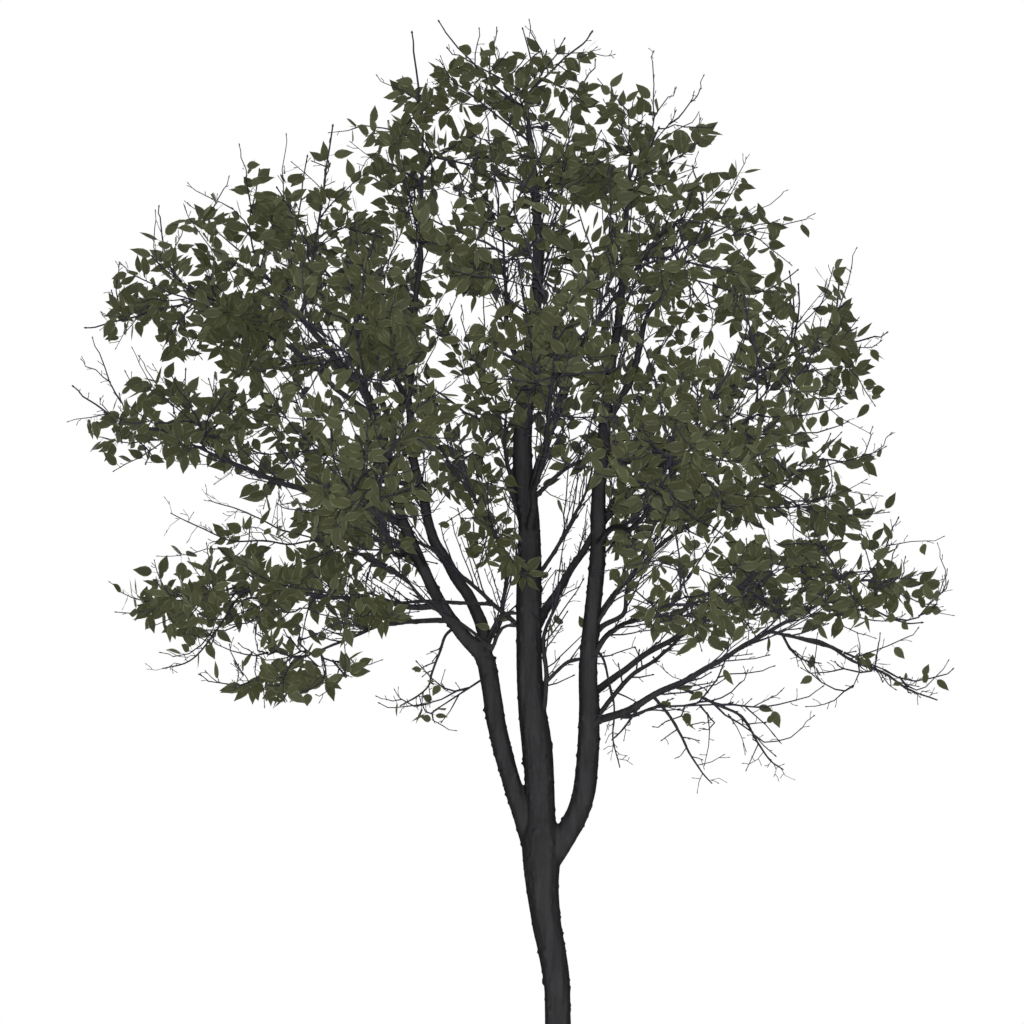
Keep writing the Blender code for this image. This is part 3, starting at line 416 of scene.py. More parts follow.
TRIED = (0.34, 0.67, 1.0)  # places along each step of a twig at which its room is tried
WAY, JOINTS, TWIG = 6, 7, 8  # columns of a table of branching places, after the place and the heading

ROUTE_STEP = 0.44  # spacing of the points of a limb's route
SHARP = math.radians(75)  # steeper edges, such as a leaf's margin, stay sharp
FINE_STEP = 0.045  # spacing of the places along a limb's course as it is drawn
BARK_STEP = 0.028  # spacing of the rings on a bough's bark
COLLAR = 0.20  # length of the swelling where a bough leaves its limb
CURVE_LENGTH = 1.06  # a bough's length against the straight way from root to end
TAPER = 0.8  # a bough's radius falls with this power of the way along it
STRAY = 0.035  # how far a bough strays from an even curve
STRAY_CELLS = 2.6  # bends of the stray course in a metre
STRAY_SHIFT = 5.3  # keeps the stray courses of two limbs apart
AXIS_SHIFT = 7.9  # and a limb's strays along x, y and z
STRAY_EASE = 0.3  # the stray fades in and out over this length
ROOT_EASE = 0.5  # a limb leaves its parent's strayed course and is back on its own after this length
FLARE_HEIGHT = 0.42  # the root flare dies out at this height
FLARE_SPREAD = 0.62
FLARE_LOBES = 5
LOBE_DEPTH = 0.13
LOBE_TURNS = (0.6, 2.1)  # turns of the lobes and of a second, two-sided swell about the trunk, in radians

MIDDLES = numpy.array([middle for middle, _, _ in MASSES.values()])
HALVES = numpy.array([half for _, half, _ in MASSES.values()])
ORDER = {mass: number for number, mass in enumerate(MASSES)}
SPACES = {**MASSES, **SPRAYS}
PAST_BOX = 0.06  # twigs and leaves may pass the solids' box by this
LIMITS = numpy.array(CAD_BOX) + numpy.array([[-PAST_BOX], [PAST_BOX]])  # the crown stays between these
SIDES = {"left": (-9.0, -1.65), "centre": (-1.65, 0.90), "right": (0.90, 9.0)}  # of the crown, by x
UP = Vector((0, 0, 1))


def linear(code):
    """Linear colour from an sRGB hex code."""
    shares = [int(code[i : i + 2], 16) / 255 for i in (0, 2, 4)]
    return tuple(s / 12.92 if s <= 0.04045 else ((s + 0.055) / 1.055) ** 2.4 for s in shares)


def colour_property(name, description, code):
    """A colour that a user may change, with its default as an sRGB hex code."""
    return bpy.props.FloatVectorProperty(
        name=name, description=description, subtype="COLOR", size=3, min=0, max=1, default=linear(code)
    )


def length_property(name, description, default):
    """A length that a user may change, in metres."""
    return bpy.props.FloatProperty(name=name, description=description, default=default, unit="LENGTH")


# ---- settings


class POPLAR_wood_settings(bpy.types.PropertyGroup):
    """Sizes and colours of the bark."""

    grain: length_property("Grain", "Size of the cells from which the bark's mesh is made", 0.0142)
    relief: length_property("Relief", "Height of the ridges in the bark", 0.0045)
    bump_height: length_property("Bumps", "Height of the healed branch scars", 0.015)
    bumps: bpy.props.IntProperty(name="Bump count", description="Healed branch scars", default=1400, min=0)
    bark: colour_property("Bark", "Main colour of the bark", "333335")
    bark_dark: colour_property("Bark, dark", "Colour of the hollows in the bark", "252526")
    bark_warm: colour_property("Bark, warm", "Colour of the younger, browner bark", "37322E")
    # painted shade: this near-black colour darkens the bark's left and right flanks in place of the shade
    # at the stems' edges
    bark_painted_shade: colour_property("Bark, algae", "Colour of the overgrown flanks", "121213")
    twig: colour_property("Twig", "Main colour of the twigs", "26262F")
    twig_pale: colour_property("Twig, pale", "Colour of the weathered side of the twigs", "35353E")


class POPLAR_crown_settings(bpy.types.PropertyGroup):
    """Sizes and colours of the twigs and leaves."""

    twigs: bpy.props.FloatProperty(
        name="Twigs", description="Twigs in a mass for each leaf of its solid", default=2.2, min=0.5
    )
    leaves: bpy.props.FloatProperty(
        name="Leaves", description="Leaves in a mass for each leaf of its solid", default=8.5, min=0.1
    )
    twig_radius: length_property("Twig radius", "Radius of a last twig where it leaves its limb", 0.0070)
    leaf_length: length_property("Leaf length", "Length of a full-grown leaf's blade", 0.20)
    leaf_width: length_property("Leaf width", "Width of a full-grown leaf's blade", 0.107)
    stalk: length_property("Leaf stalk", "Length of a leaf's stalk", 0.055)
    leaf_a: colour_property("Leaf A", "Colour of a leaf", "42442E")
    leaf_b: colour_property("Leaf B", "Colour of a leaf", "3D3F2A")
    leaf_c: colour_property("Leaf C", "Colour of a leaf", "454832")
    leaf_d: colour_property("Leaf D", "Colour of a leaf", "40432E")
    leaf_e: colour_property("Leaf E", "Colour of a leaf", "494D36")


class POPLAR_stage_settings(bpy.types.PropertyGroup):
    """Floor, light and camera."""

    floor_radius: length_property("Floor radius", "Radius of the pale floor", 8.5)
    floor: colour_property("Floor", "Colour of the floor", "EDECE8")
    key: bpy.props.FloatProperty(name="Key", description="Power of the front light in W", default=20000.0)
    back: bpy.props.FloatProperty(name="Back", description="Strength of the back light", default=2.0)
    ambient: bpy.props.FloatProperty(name="Ambient", description="Light from all around", default=0.75)


# ---- routes of the limbs


def spline(points, spacing=ROUTE_STEP):
    """Points about this far apart on a smooth curve through the given (x, y, z, radius) points."""
    knots = [Vector(p) for p in points]
    knots = [2 * knots[0] - knots[1], *knots, 2 * knots[-1] - knots[-2]]
    route = []
    for a, b, c, d in zip(knots, knots[1:], knots[2:], knots[3:]):
        count = max(1, round((c - b).xyz.length / spacing))
        for i in range(count):
            t = i / count
            bend = (2 * a - 5 * b + 4 * c - d) * t * t + (3 * b - a - 3 * c + d) * t**3
            route.append((2 * b + (c - a) * t + bend) / 2)
    return [*route, knots[-2]]


def split_route(route, height):
    """The route below and above a height, with a ring at the height in both."""
    for i, (a, b) in enumerate(zip(route, route[1:])):
        if a.z <= height < b.z:
            cut = a.lerp(b, (height - a.z) / (b.z - a.z))
            return [*route[: i + 1], cut], [cut, *route[i + 1 :]]
    raise ValueError("the height is off the route")


def reach(half, direction):
    """How far an ellipsoid of these half-sizes reaches in a direction."""
    return 1 / Vector(d / h for d, h in zip(direction, half)).length


def heading_to(gap, pitch, turn):
    """A direction at a pitch, turned in plan away from where the gap leads."""
    plan = Quaternion(UP, math.radians(turn)) @ Vector((gap.x, gap.y, 0)).normalized()
    return plan * math.cos(math.radians(pitch)) + UP * math.sin(math.radians(pitch))


def bough_route(start, mass, leave, arrive, radii):
    """A limb from a start point into the near side of a mass, as one curve."""
    middle, half = Vector(MASSES[mass][0]), MASSES[mass][1]
    out = heading_to(middle - start, *leave[:2])
    into = heading_to(middle - start, *arrive[:2])
    end = middle - into * reach(half, into) * ENTRY
    span = (end - start).length
    corners = (start, start + out * leave[2] * span, end - into * arrive[2] * span, end)
    count = max(4, round(span * CURVE_LENGTH / ROUTE_STEP))
    route = []
    for i in range(count + 1):
        t = i / count
        weights = ((1 - t) ** 3, 3 * t * (1 - t) ** 2, 3 * t * t * (1 - t), t**3)
        place = sum((c * w for c, w in zip(corners, weights)), Vector((0, 0, 0)))
        route.append(Vector((*place, radii[0] + (radii[1] - radii[0]) * t**TAPER)))
    return route


@functools.cache
def limb_routes():
    """The route of every stem and bough by name, in the order in which they are set out."""
    routes = {name: split_route(spline(points), fork)[1] for name, (fork, points) in STEMS.items()}
    for mass, (parent, height, course) in LEADERS.items():
        place = split_route(routes[parent], height)[0][-1]
        routes[f"bough_{mass}"] = spline([(*place.xyz, course[0][3]), *course])
    for mass, (parent, height, *form) in BOUGHS.items():
        start = split_route(routes[parent], height)[0][-1].xyz
        routes[f"bough_{mass}"] = bough_route(start, mass, *form)
    return routes


@functools.cache
def limb_rows(mass):
    """Both ends and radii of every straight piece of the limbs that comes near a mass, one row each."""
    limbs = [spline(TRUNK), *limb_routes().values()]
    rows = numpy.array([(*a, *b) for route in limbs for a, b in zip(route, route[1:])])
    middle, half = SPACES[mass][:2]
    gaps = numpy.linalg.norm((rows[:, :3] + rows[:, 4:7]) / 2 - middle, axis=1)
    return rows[gaps < max(half) * SHELL[1] + ROUTE_STEP * 2]


def side_route(name):
    """The route of a side limb, with its radius at each point."""
    (base, tip), places = SIDE_LIMBS[name]
    last = len(places) - 1
    return [(*place, base + (tip - base) * i / last) for i, place in enumerate(places)]


def wander(ways, number):
    """How far a limb strays from its even course at distances along it, and not at all at its two ends."""
    fade_in = numpy.clip((ways - COLLAR) / STRAY_EASE, 0, 1)
    ease = fade_in * numpy.clip((ways[-1] - ways) / STRAY_EASE, 0, 1)
    cells = [(way * STRAY_CELLS, number * STRAY_SHIFT) for way in ways]
    stray = [[noise.noise((x, y, axis * AXIS_SHIFT + 0.5)) for axis in range(3)] for x, y in cells]
    return numpy.array(stray) * STRAY * ease[:, None]


@functools.cache
def bough_names():
    """The names of the boughs, in order, and then those of the side limbs."""
    return [name for name in limb_routes() if name not in STEMS] + list(SIDE_LIMBS)


@functools.cache
def limb_path(name):
    """Places and radii close together along a limb as it is drawn, rooted in the limb that bears it."""
    if name in STEMS:
        return fine_path(limb_routes()[name])
    number = bough_names().index(name)
    path, radii = fine_path(side_route(name) if name in SIDE_LIMBS else limb_routes()[name])
    ways = lengths_along(path)
    path = path + wander(ways, number)
    mass = name.removeprefix("bough_")
    if name in SIDE_LIMBS:
        bearers = [*STEMS, *bough_names()[:number]]
    else:
        bearers = [bearer for bearer in ((BOUGHS | LEADERS)[mass][0],) if bearer not in STEMS]
    if bearers:
        places = numpy.concatenate([limb_path(bearer)[0] for bearer in bearers])
        thick = numpy.concatenate([limb_path(bearer)[1] for bearer in bearers])
        nearest = numpy.linalg.norm(places - path[0], axis=1).argmin()
        path = path + (places[nearest] - path[0]) * numpy.clip(1 - ways / ROOT_EASE, 0, 1)[:, None]
        radii = numpy.minimum(radii, thick[nearest] * CHILD)
    return path, radii


def mass_start(mass):
    """Where the stem of a mass starts, its heading, its radius and the bare part of its length."""
    routes = limb_routes()
    if mass in SPRAYS:
        middle, _, _, limb = SPRAYS[mass]
        path, radii = limb_path(limb)
        nearest = numpy.linalg.norm(path - middle + (0, 0, SPRAY_DROP), axis=1).argmin()
        radius = min(radii[nearest] * SLIM, SPRAY_RADIUS)
        return path[nearest], unit(middle - path[nearest]), radius, 0
    if mass in SPRIG_ON:
        stem, height, pitch = SPRIG_ON[mass]
        place = split_route(routes[stem], height)[0][-1]
        heading = heading_to(Vector(MASSES[mass][0]) - place.xyz, pitch, 0)
        return place.xyz, heading, SPRIG_RADIUS, place.w * SPRIG_CLEAR
    route = routes[MASS_STEM_ON.get(mass, f"bough_{mass}")]
    end, before = route[-1], route[-2]
    return end.xyz, (end - before).xyz.normalized(), end.w, 0


# ---- growth of a mass


def fits(mass, places):
    """Which of these places are in the mass's own space and clear of the limbs."""
    wood = limb_rows(mass)
    along = wood[:, 4:7] - wood[:, :3]
    gap = places[:, None] - wood[:, :3]
    share = numpy.clip((gap * along).sum(axis=2) / (along**2).sum(axis=1), 0, 1)
    skin = wood[:, 3] + (wood[:, 7] - wood[:, 3]) * share
    room = numpy.linalg.norm(gap - along * share[:, :, None], axis=2) - skin
    within = ((places > LIMITS[0]) & (places < LIMITS[1])).all(axis=1)
    clear = (room.min(axis=1) >= LIMB_CLEARANCE) & within
    middle, half = SPACES[mass][:2]
    own = numpy.linalg.norm((places - middle) / half, axis=1)
    if mass in SPRAYS:
        return clear & (own < 1)
    depth = numpy.linalg.norm((places[:, None] - MIDDLES) / HALVES, axis=2)
    depth[:, ORDER[mass]] = numpy.inf
    other = depth.min(axis=1)
    return clear & ((own < SKIN) | (own * other < FILL)) & (own + SPACE_MARGIN < other)


def gauss_rows(chance, count, size=1):
    """Random rows of three numbers, as likely to point one way as another."""
    return numpy.array([[chance.gauss(0, size) for _ in range(3)] for _ in range(count)]).reshape(-1, 3)


def random_units(chance, count):
    """Directions spread evenly all round."""
    return unit(gauss_rows(chance, count))


def twig_ends(mass, chance, count):
    """Ends for the twigs of a mass, in an order that first fills its space coarsely and then ever finer."""
    middle, half = SPACES[mass][:2]
    ends = numpy.empty((0, 3))
    while len(ends) < count:
        units = random_units(chance, CANDIDATES)
        shares = numpy.array([[chance.uniform(*SHELL)] for _ in range(CANDIDATES)])
        places = middle + units * shares * half
        places = places[fits(mass, places)]
        if len(places):
            room = numpy.linalg.norm(places[:, None] - ends, axis=2).min(axis=1, initial=1.0)
            ends = numpy.vstack((ends, places[room.argmax()]))
    return ends


def twig_path(nodes, end):
    """Which node the twig to an end leaves from, and the curve it follows."""
    gaps = end - nodes[:, :3]
    lengths = numpy.linalg.norm(gaps, axis=1)
    turns = (gaps * nodes[:, 3:6]).sum(axis=1) / numpy.maximum(lengths, 1e-6)
    costs = lengths * (1 + TURN_COST * (1 - turns)) + PATH_WEIGHT * nodes[:, WAY]
    costs += JOINT_COST * nodes[:, JOINTS]
    best = numpy.where(lengths > NODE_STEP, costs, numpy.inf).argmin()
    place, length = nodes[best, :3], lengths[best]
    lean = nodes[best, 3:6] * HEADING_SHARE + gaps[best] / length * (1 - HEADING_SHARE)
    bend = place + lean * length * 0.5 - numpy.array((0, 0, SAG)) * length
    t = numpy.linspace(0, 1, max(2, round(length / NODE_STEP)) + 1)[:, None]
    return best, place * (1 - t) ** 2 + bend * 2 * t * (1 - t) + end * t * t


def along_path(path):
    """Places close together along a twig, without its root."""
    return numpy.concatenate([path[:-1] + (path[1:] - path[:-1]) * t for t in TRIED])


def grow(mass, chance, count):
    """The twigs of a mass as (path, parent twig), and first of all the stem that they grow from."""
    start, heading, _, clear = mass_start(mass)
    start, heading = numpy.array(start), numpy.array(heading)
    inward = numpy.linalg.norm(SPACES[mass][0] - start) * STEM_REACH
    steps = numpy.linspace(0, 1, max(2, round(inward / NODE_STEP)) + 1)
    stem = start + heading * inward * steps[:, None]
    ways = numpy.arange(len(stem)) * NODE_STEP
    headings = numpy.tile(heading, (len(stem), 1))
    nodes = numpy.column_stack((stem, headings, ways, numpy.zeros((len(stem), 2))))
    nodes = nodes[ways > clear]
    twigs = [(stem, None)]
    for end in twig_ends(mass, chance, count):
        joint, path = twig_path(nodes, end)
        if not fits(mass, along_path(path)).all():
            continue
        nodes[joint, JOINTS] += 1
        parent, way = int(nodes[joint, TWIG]), nodes[joint, WAY]
        steps = path[1:] - path[:-1]
        lengths = numpy.linalg.norm(steps, axis=1)
        ways = way + numpy.cumsum(lengths)
        numbers = numpy.tile((0, len(twigs)), (len(steps), 1))
        twigs.append((path, parent))
        grown = numpy.column_stack((path[1:], steps / lengths[:, None], ways, numbers))
        nodes = numpy.vstack((nodes, grown))
    return twigs


# ---- meshes


class Batch:
    """Many small closed shapes gathered into one mesh: corners, faces, tones and leaf patterns."""

    def __init__(self):
        self.verts, self.faces, self.tones, self.patterns, self.count = [], [], [], [], 0

    def add(self, verts, faces, tone=0, pattern=None):
        """Adds a shape: its corners, its faces as lists of corner numbers, and its material's number."""
        self.verts.append(verts)
        for kind in faces:
            self.faces.extend((kind + self.count).tolist())
        self.tones.extend([tone] * sum(len(kind) for kind in faces))
        if pattern is not None:
            self.patterns.append(pattern)
        self.count += len(verts)

    def build(self, name, materials, body, stands_for):
        """The finished piece, riding on its body in place of the solids that it stands for."""
        mesh = bpy.data.meshes.new(name)
        mesh.from_pydata(numpy.concatenate(self.verts).tolist(), [], self.faces)
        for material in materials:
            mesh.materials.append(material)
        mesh.polygons.foreach_set("material_index", self.tones)
        if self.patterns:
            layer = mesh.uv_layers.new(name="blade")
            corners = numpy.empty(len(mesh.loops), dtype=int)
            mesh.loops.foreach_get("vertex_index", corners)
            layer.data.foreach_set("uv", numpy.concatenate(self.patterns)[corners].ravel())
        mesh.shade_smooth()
        mesh.set_sharp_from_angle(angle=SHARP)
        piece = bpy.data.objects.new(name, mesh)
        bpy.context.scene.collection.objects.link(piece)
        return settle(piece, body, stands_for)


def settle(piece, body, stands_for):
    """Rides a piece on a body, in place of the solids that it stands for."""
    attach(piece, body)
    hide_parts(*stands_for)
    return piece


@functools.cache
def tube_faces(rings, sides):
    """The faces of a tube whose last two corners are the middles of its ends."""
    ring = numpy.arange(sides)
    after = (ring + 1) % sides
    low = numpy.arange(rings - 1)[:, None] * sides
    quads = numpy.stack((low + ring, low + after, low + sides + after, low + sides + ring), axis=2)
    first, last = rings * sides, rings * sides + 1
    top = (rings - 1) * sides
    foot = numpy.stack((after, ring, numpy.full(sides, first)), axis=1)
    head = numpy.stack((top + ring, top + after, numpy.full(sides, last)), axis=1)
    return quads.reshape(-1, 4), numpy.concatenate((foot, head))


def unit(rows):
    """Rows of numbers, each scaled to length one."""
    return rows / numpy.maximum(numpy.linalg.norm(rows, axis=-1, keepdims=True), 1e-9)


CAPS = (0.3, 0.8)  # height of the cones that close a tube at its root and tip, in radii
STRAIGHT = 1e-4  # a path that bows by less than this is straight
UPRIGHT = 0.8  # a straight path that rises by more than this share of its length is upright
ACROSS = ((0.0, 0.2, 1.0), (1.0, 0.1, 0.0))  # ways across a straight path, lying or upright


def tube(path, radii, sides, relief=None):
    """Corners and faces of a tapering tube along a path, closed by a low cone at each end."""
    ahead = unit(numpy.gradient(path, axis=0))
    chord = unit(path[-1] - path[0])
    bow = numpy.cross(path[len(path) // 2] - path[0], chord)
    if numpy.linalg.norm(bow) < STRAIGHT:
        bow = numpy.cross(chord, ACROSS[int(abs(chord[2]) >= UPRIGHT)])
    side = unit(numpy.cross(ahead, numpy.cross(bow, ahead)))
    other = numpy.cross(ahead, side)
    angles = numpy.linspace(0, 2 * math.pi, sides, endpoint=False)[:, None]
    out = side[:, None] * numpy.cos(angles) + other[:, None] * numpy.sin(angles)
    size = radii[:, None] * (1 if relief is None else relief)
    verts = (path[:, None] + out * size[:, :, None]).reshape(-1, 3)
    root, tip = path[0] - ahead[0] * radii[0] * CAPS[0], path[-1] + ahead[-1] * radii[-1] * CAPS[1]
    return numpy.vstack((verts, (root, tip))), tube_faces(len(path), sides)


def fine_path(route):
    """Places and radii close together along a limb's route."""
    fine = numpy.array([tuple(point) for point in spline(route, FINE_STEP)])
    return fine[:, :3], fine[:, 3]


def lengths_along(path):
    """How far each place is along a path."""
    steps = numpy.linalg.norm(numpy.diff(path, axis=0), axis=1)
    return numpy.concatenate(([0.0], numpy.cumsum(steps)))


# ---- materials


def feed(tree, node, inputs):
    """Sets each input of a node to a constant, or links it to the output that feeds it."""
    for name, value in inputs.items():
        if isinstance(value, bpy.types.NodeSocket):
            tree.links.new(value, node.inputs[name])
        else:
            node.inputs[name].default_value = value
    return node


def add(tree, kind, inputs=None, **settings):
    """A node of a kind, with its settings and inputs."""
    node = tree.nodes.new(f"ShaderNode{kind}")
    for name, value in settings.items():
        setattr(node, name, value)
    return feed(tree, node, inputs or {})


def maths(tree, operation, *values):
    """The result of an operation on constants and outputs."""
    return add(tree, "Math", dict(enumerate(values)), operation=operation).outputs[0]


def scaled(tree, value, low, high, least=0.0, most=1.0):
    """Where a value lies between low and high, as a share from least to most."""
    inputs = {"Value": value, "From Min": low, "From Max": high, "To Min": least, "To Max": most}
    return add(tree, "MapRange", inputs).outputs[0]


def cloud(tree, place, scale, detail, roughness=0.5):
    """Noise with this many cells in a metre."""
    inputs = {"Vector": place, "Scale": scale, "Detail": detail, "Roughness": roughness}
    return add(tree, "TexNoise", inputs).outputs["Fac"]


def blend(tree, factor, below, above):
    """A mix of two colours, each three constants or an output."""
    ends = [c if isinstance(c, bpy.types.NodeSocket) else (*c, 1) for c in (below, above)]
    inputs = {"Factor": factor, "A": ends[0], "B": ends[1]}
    return add(tree, "Mix", inputs, data_type="RGBA").outputs["Result"]


def bumps(tree, height, strength, distance):
    """The normal over bumps of this strength and height in metres."""
    inputs = {"Height": height, "Strength": strength, "Distance": distance}
    return add(tree, "Bump", inputs).outputs[0]


def new_material(name):
    """A material with an empty node tree, its shader and its output."""
    material = bpy.data.materials.new(name)
    material.use_nodes = True
    tree = material.node_tree
    tree.nodes.clear()
    shader = add(tree, "BsdfPrincipled", {"Metallic": 0.0})
    add(tree, "OutputMaterial", {"Surface": shader.outputs[0]})
    return material, tree, shader


def ramp(tree, factor, stops):
    """A colour ramp of (place, colour) stops over a factor."""
    node = add(tree, "ValToRGB", {"Fac": factor})
    elements = node.color_ramp.elements
    while len(elements) < len(stops):
        elements.new(0.5)
    for element, (place, colour) in zip(elements, stops):
        element.position = place
        element.color = (*colour, 1)
    return node.outputs["Color"]


def bark_material(settings):
    """Living bark of a young poplar: smooth, dull and charcoal grey, with long faint streaks and pores, and
    painted shade on the flanks that face left and right.
    """
    material, tree, shader = new_material("living_poplar_bark")
    place = add(tree, "TexCoord").outputs["Object"]
    # streaks 70 mm wide and half a metre long
    streaks = add(tree, "Mapping", {"Vector": place, "Scale": (1, 1, 0.14)}).outputs[0]
    grain = cloud(tree, streaks, 14.0, 6.0, 0.62)
    stops = ((0.30, settings.bark_dark), (0.62, settings.bark), (0.85, settings.bark))
    warmth = scaled(tree, cloud(tree, place, 1.1, 3.0), 0.56, 0.72, most=0.6)
    colour = blend(tree, warmth, ramp(tree, grain, stops), settings.bark_warm)
    # painted shade: the flanks that face left and right are darkened towards near black by their normal,
    # standing in for the shade at the edges of the stems seen from the front
    facing = add(tree, "SeparateXYZ", {"Vector": add(tree, "TexCoord").outputs["Normal"]})
    painted_flank_shade = scaled(tree, maths(tree, "ABSOLUTE", facing.outputs["X"]), 0.40, 0.95, most=0.9)
    # pores, drawn about 25 mm wide and 8 mm high so that they show
    spots = add(tree, "Mapping", {"Vector": place, "Scale": (1, 1, 3)}).outputs[0]
    pores = add(tree, "TexVoronoi", {"Vector": spots, "Scale": 16.0, "Randomness": 1.0})
    pore = scaled(tree, pores.outputs["Distance"], 0.10, 0.24)
    height = maths(tree, "ADD", pore, cloud(tree, place, 55.0, 5.0, 0.6))
    look = {
        # the base colour carries the painted shade on the flanks
        "Base Color": blend(tree, painted_flank_shade, colour, settings.bark_painted_shade),
        "Normal": bumps(tree, maths(tree, "ADD", height, grain), 0.45, 0.006),
        "Roughness": 0.88,
        "Specular IOR Level": 0.06,
    }
    feed(tree, shader, look)
    return material


def twig_material(settings):
    """Bark of one to three-year twigs: finer, a little glossier and bluer than the trunk's."""
    material, tree, shader = new_material("young_twig_bark")
    place = add(tree, "TexCoord").outputs["Object"]
    # weathered patches about 60 mm long
    stops = ((0.35, settings.twig), (0.70, settings.twig_pale))
    look = {
        "Base Color": ramp(tree, cloud(tree, place, 16.0, 4.0, 0.6), stops),
        "Normal": bumps(tree, cloud(tree, place, 180.0, 3.0), 0.3, 0.001),
        "Roughness": 0.75,
        "Specular IOR Level": 0.15,
    }
    feed(tree, shader, look)
    return material


def leaf_material(name, colour):
    """A living poplar leaf: firm, waxy and matt below a thin cuticle, with a paler rib and side veins."""
    material, tree, shader = new_material(name)
    pattern = add(tree, "SeparateXYZ", {"Vector": add(tree, "UVMap", uv_map="blade").outputs[0]})
    across = maths(tree, "ABSOLUTE", maths(tree, "SUBTRACT", pattern.outputs["X"], 0.5))
    # the rib is 5 mm wide, and the blade is paler within 15 mm of its margin
    rib = scaled(tree, across, 0.012, 0.03, least=0.75)
    margin = scaled(tree, across, 0.26, 0.47)
    # side veins about 20 mm apart that slope towards the tip
    slope = maths(tree, "MULTIPLY_ADD", across, -0.55, pattern.outputs["Y"])
    vein = scaled(tree, maths(tree, "SINE", maths(tree, "MULTIPLY", slope, 62.0)), 0.80, 1.0)
    mottle = cloud(tree, add(tree, "TexCoord").outputs["Object"], 22.0, 3.0)
    dark = tuple(channel * 0.92 for channel in colour)
    pale = tuple(channel * 1.9 + 0.014 for channel in colour)
    blade = ramp(tree, mottle, ((0.35, dark), (0.65, colour)))
    blade = blend(tree, maths(tree, "MULTIPLY", margin, 0.85), blade, pale)
    blade = blend(tree, maths(tree, "MULTIPLY", vein, 0.10), blade, pale)
    look = {
        "Base Color": blend(tree, rib, pale, blade),
        "Normal": bumps(tree, maths(tree, "SUBTRACT", vein, mottle), 0.25, 0.002),
        "Roughness": 0.62,
        "Specular IOR Level": 0.12,
        "Diffuse Roughness": 1.0,
    }
    feed(tree, shader, look)
    return material


def floor_material(colour):
    """Matt painted board, almost even, with a faint cloudiness."""
    material, tree, shader = new_material("pale_studio_floor")
    clouds = cloud(tree, add(tree, "TexCoord").outputs["Object"], 0.6, 2.0)
    dark = tuple(channel * 0.97 for channel in colour)
    look = {
        "Base Color": ramp(tree, clouds, ((0.3, dark), (0.7, colour))),
        "Roughness": 0.95,
        "Specular IOR Level": 0.1,
    }
    feed(tree, shader, look)
    return material


# ---- wood


COLLAR_SWELL = (1.55, 0.67, 0.6)  # a collar's radius at its root in bough radii, its fall, the fall's power
BEVEL_STEPS = 5
SMOOTHING = (0.5, 6)  # strength and rounds of the smoothing of the trunk's mesh
RIDGE_CELLS = (17, 2.4)  # ridges in a metre across and up the wood
WRINKLE_CELLS = (9, 38)
WRINKLES = 0.35  # height of the wrinkles against the ridges
DEEPER = (1.2, 0.7)  # the ridges grow deeper by this share at the ground, which fades over this height
SCAR_RADII = (0.010, 0.022)
SCAR_HEIGHTS = (0.2, 1.0)  # as shares of the highest
SCAR_POWER = 1.5  # low scars outnumber high ones by this power
SCAR_REACH = 0.06  # a scar lifts nothing that is further above or below it


def flare(angle, height):
    """The root flare's widening of the trunk at angles and heights, with a lobe over each root."""
    low = numpy.maximum(0.0, 1 - height / FLARE_HEIGHT) ** 2
    lobe = numpy.cos(FLARE_LOBES * angle + LOBE_TURNS[0]) + 0.5 * numpy.cos(2 * angle + LOBE_TURNS[1])
    return 1 + low * (FLARE_SPREAD + LOBE_DEPTH * lobe)


def collar_route(name):
    """The first stretch of a bough, swollen at its root and a little slimmer than the bough at its end."""
    path, radii = limb_path(name)
    count = int((lengths_along(path) <= COLLAR).sum())
    root, fall, power = COLLAR_SWELL
    swell = root - fall * numpy.linspace(0, 1, count) ** power
    return [Vector((*place, radius)) for place, radius in zip(path, radii[:count] * swell)]


class POPLAR_OT_trunk(bpy.types.Operator):
    """Adds the bark of the trunk and stems, with the collars of the boughs"""

    bl_idname = "poplar.trunk"
    bl_label = "Trunk and stems"

    def execute(self, context):
        settings = context.scene.poplar_wood
        limbs = [spline(TRUNK, FINE_STEP), *(spline(points, FINE_STEP) for _, points in STEMS.values())]
        limbs += [collar_route(name) for name in bough_names()]
        bpy.ops.object.select_all(action="DESELECT")
        bpy.ops.curve.primitive_nurbs_path_add()
        trunk = context.object
        trunk.name = "trunk_and_stems_bark"
        curve = trunk.data
        curve.splines.clear()
        curve.dimensions = "3D"
        curve.bevel_depth = 1.0
        curve.bevel_resolution = BEVEL_STEPS
        curve.use_fill_caps = True
        for limb in limbs:
            line = curve.splines.new("POLY")
            line.points.add(len(limb) - 1)
            for point, place in zip(line.points, limb):
                point.co = (*place.xyz, 1)
                point.radius = place.w
        bpy.ops.object.convert(target="MESH")
        remesh = trunk.modifiers.new("grain", "REMESH")
        remesh.mode = "VOXEL"
        remesh.voxel_size = settings.grain
        bpy.ops.object.modifier_apply(modifier=remesh.name)
        smooth = trunk.modifiers.new("smooth", "SMOOTH")
        smooth.factor, smooth.iterations = SMOOTHING
        bpy.ops.object.modifier_apply(modifier=smooth.name)
        carve_bark(trunk.data, settings)
        trunk.data.shade_smooth()
        trunk.data.materials.clear()
        trunk.data.materials.append(bark_material(settings))
        settle(trunk, "root", ("trunk", *STEMS))
        return {"FINISHED"}


def read_rows(mesh, kind):
    """The places or normals of a mesh's corners, one row each."""
    rows = numpy.empty(len(mesh.vertices) * 3)
    mesh.vertices.foreach_get(kind, rows)
    return rows.reshape(-1, 3)


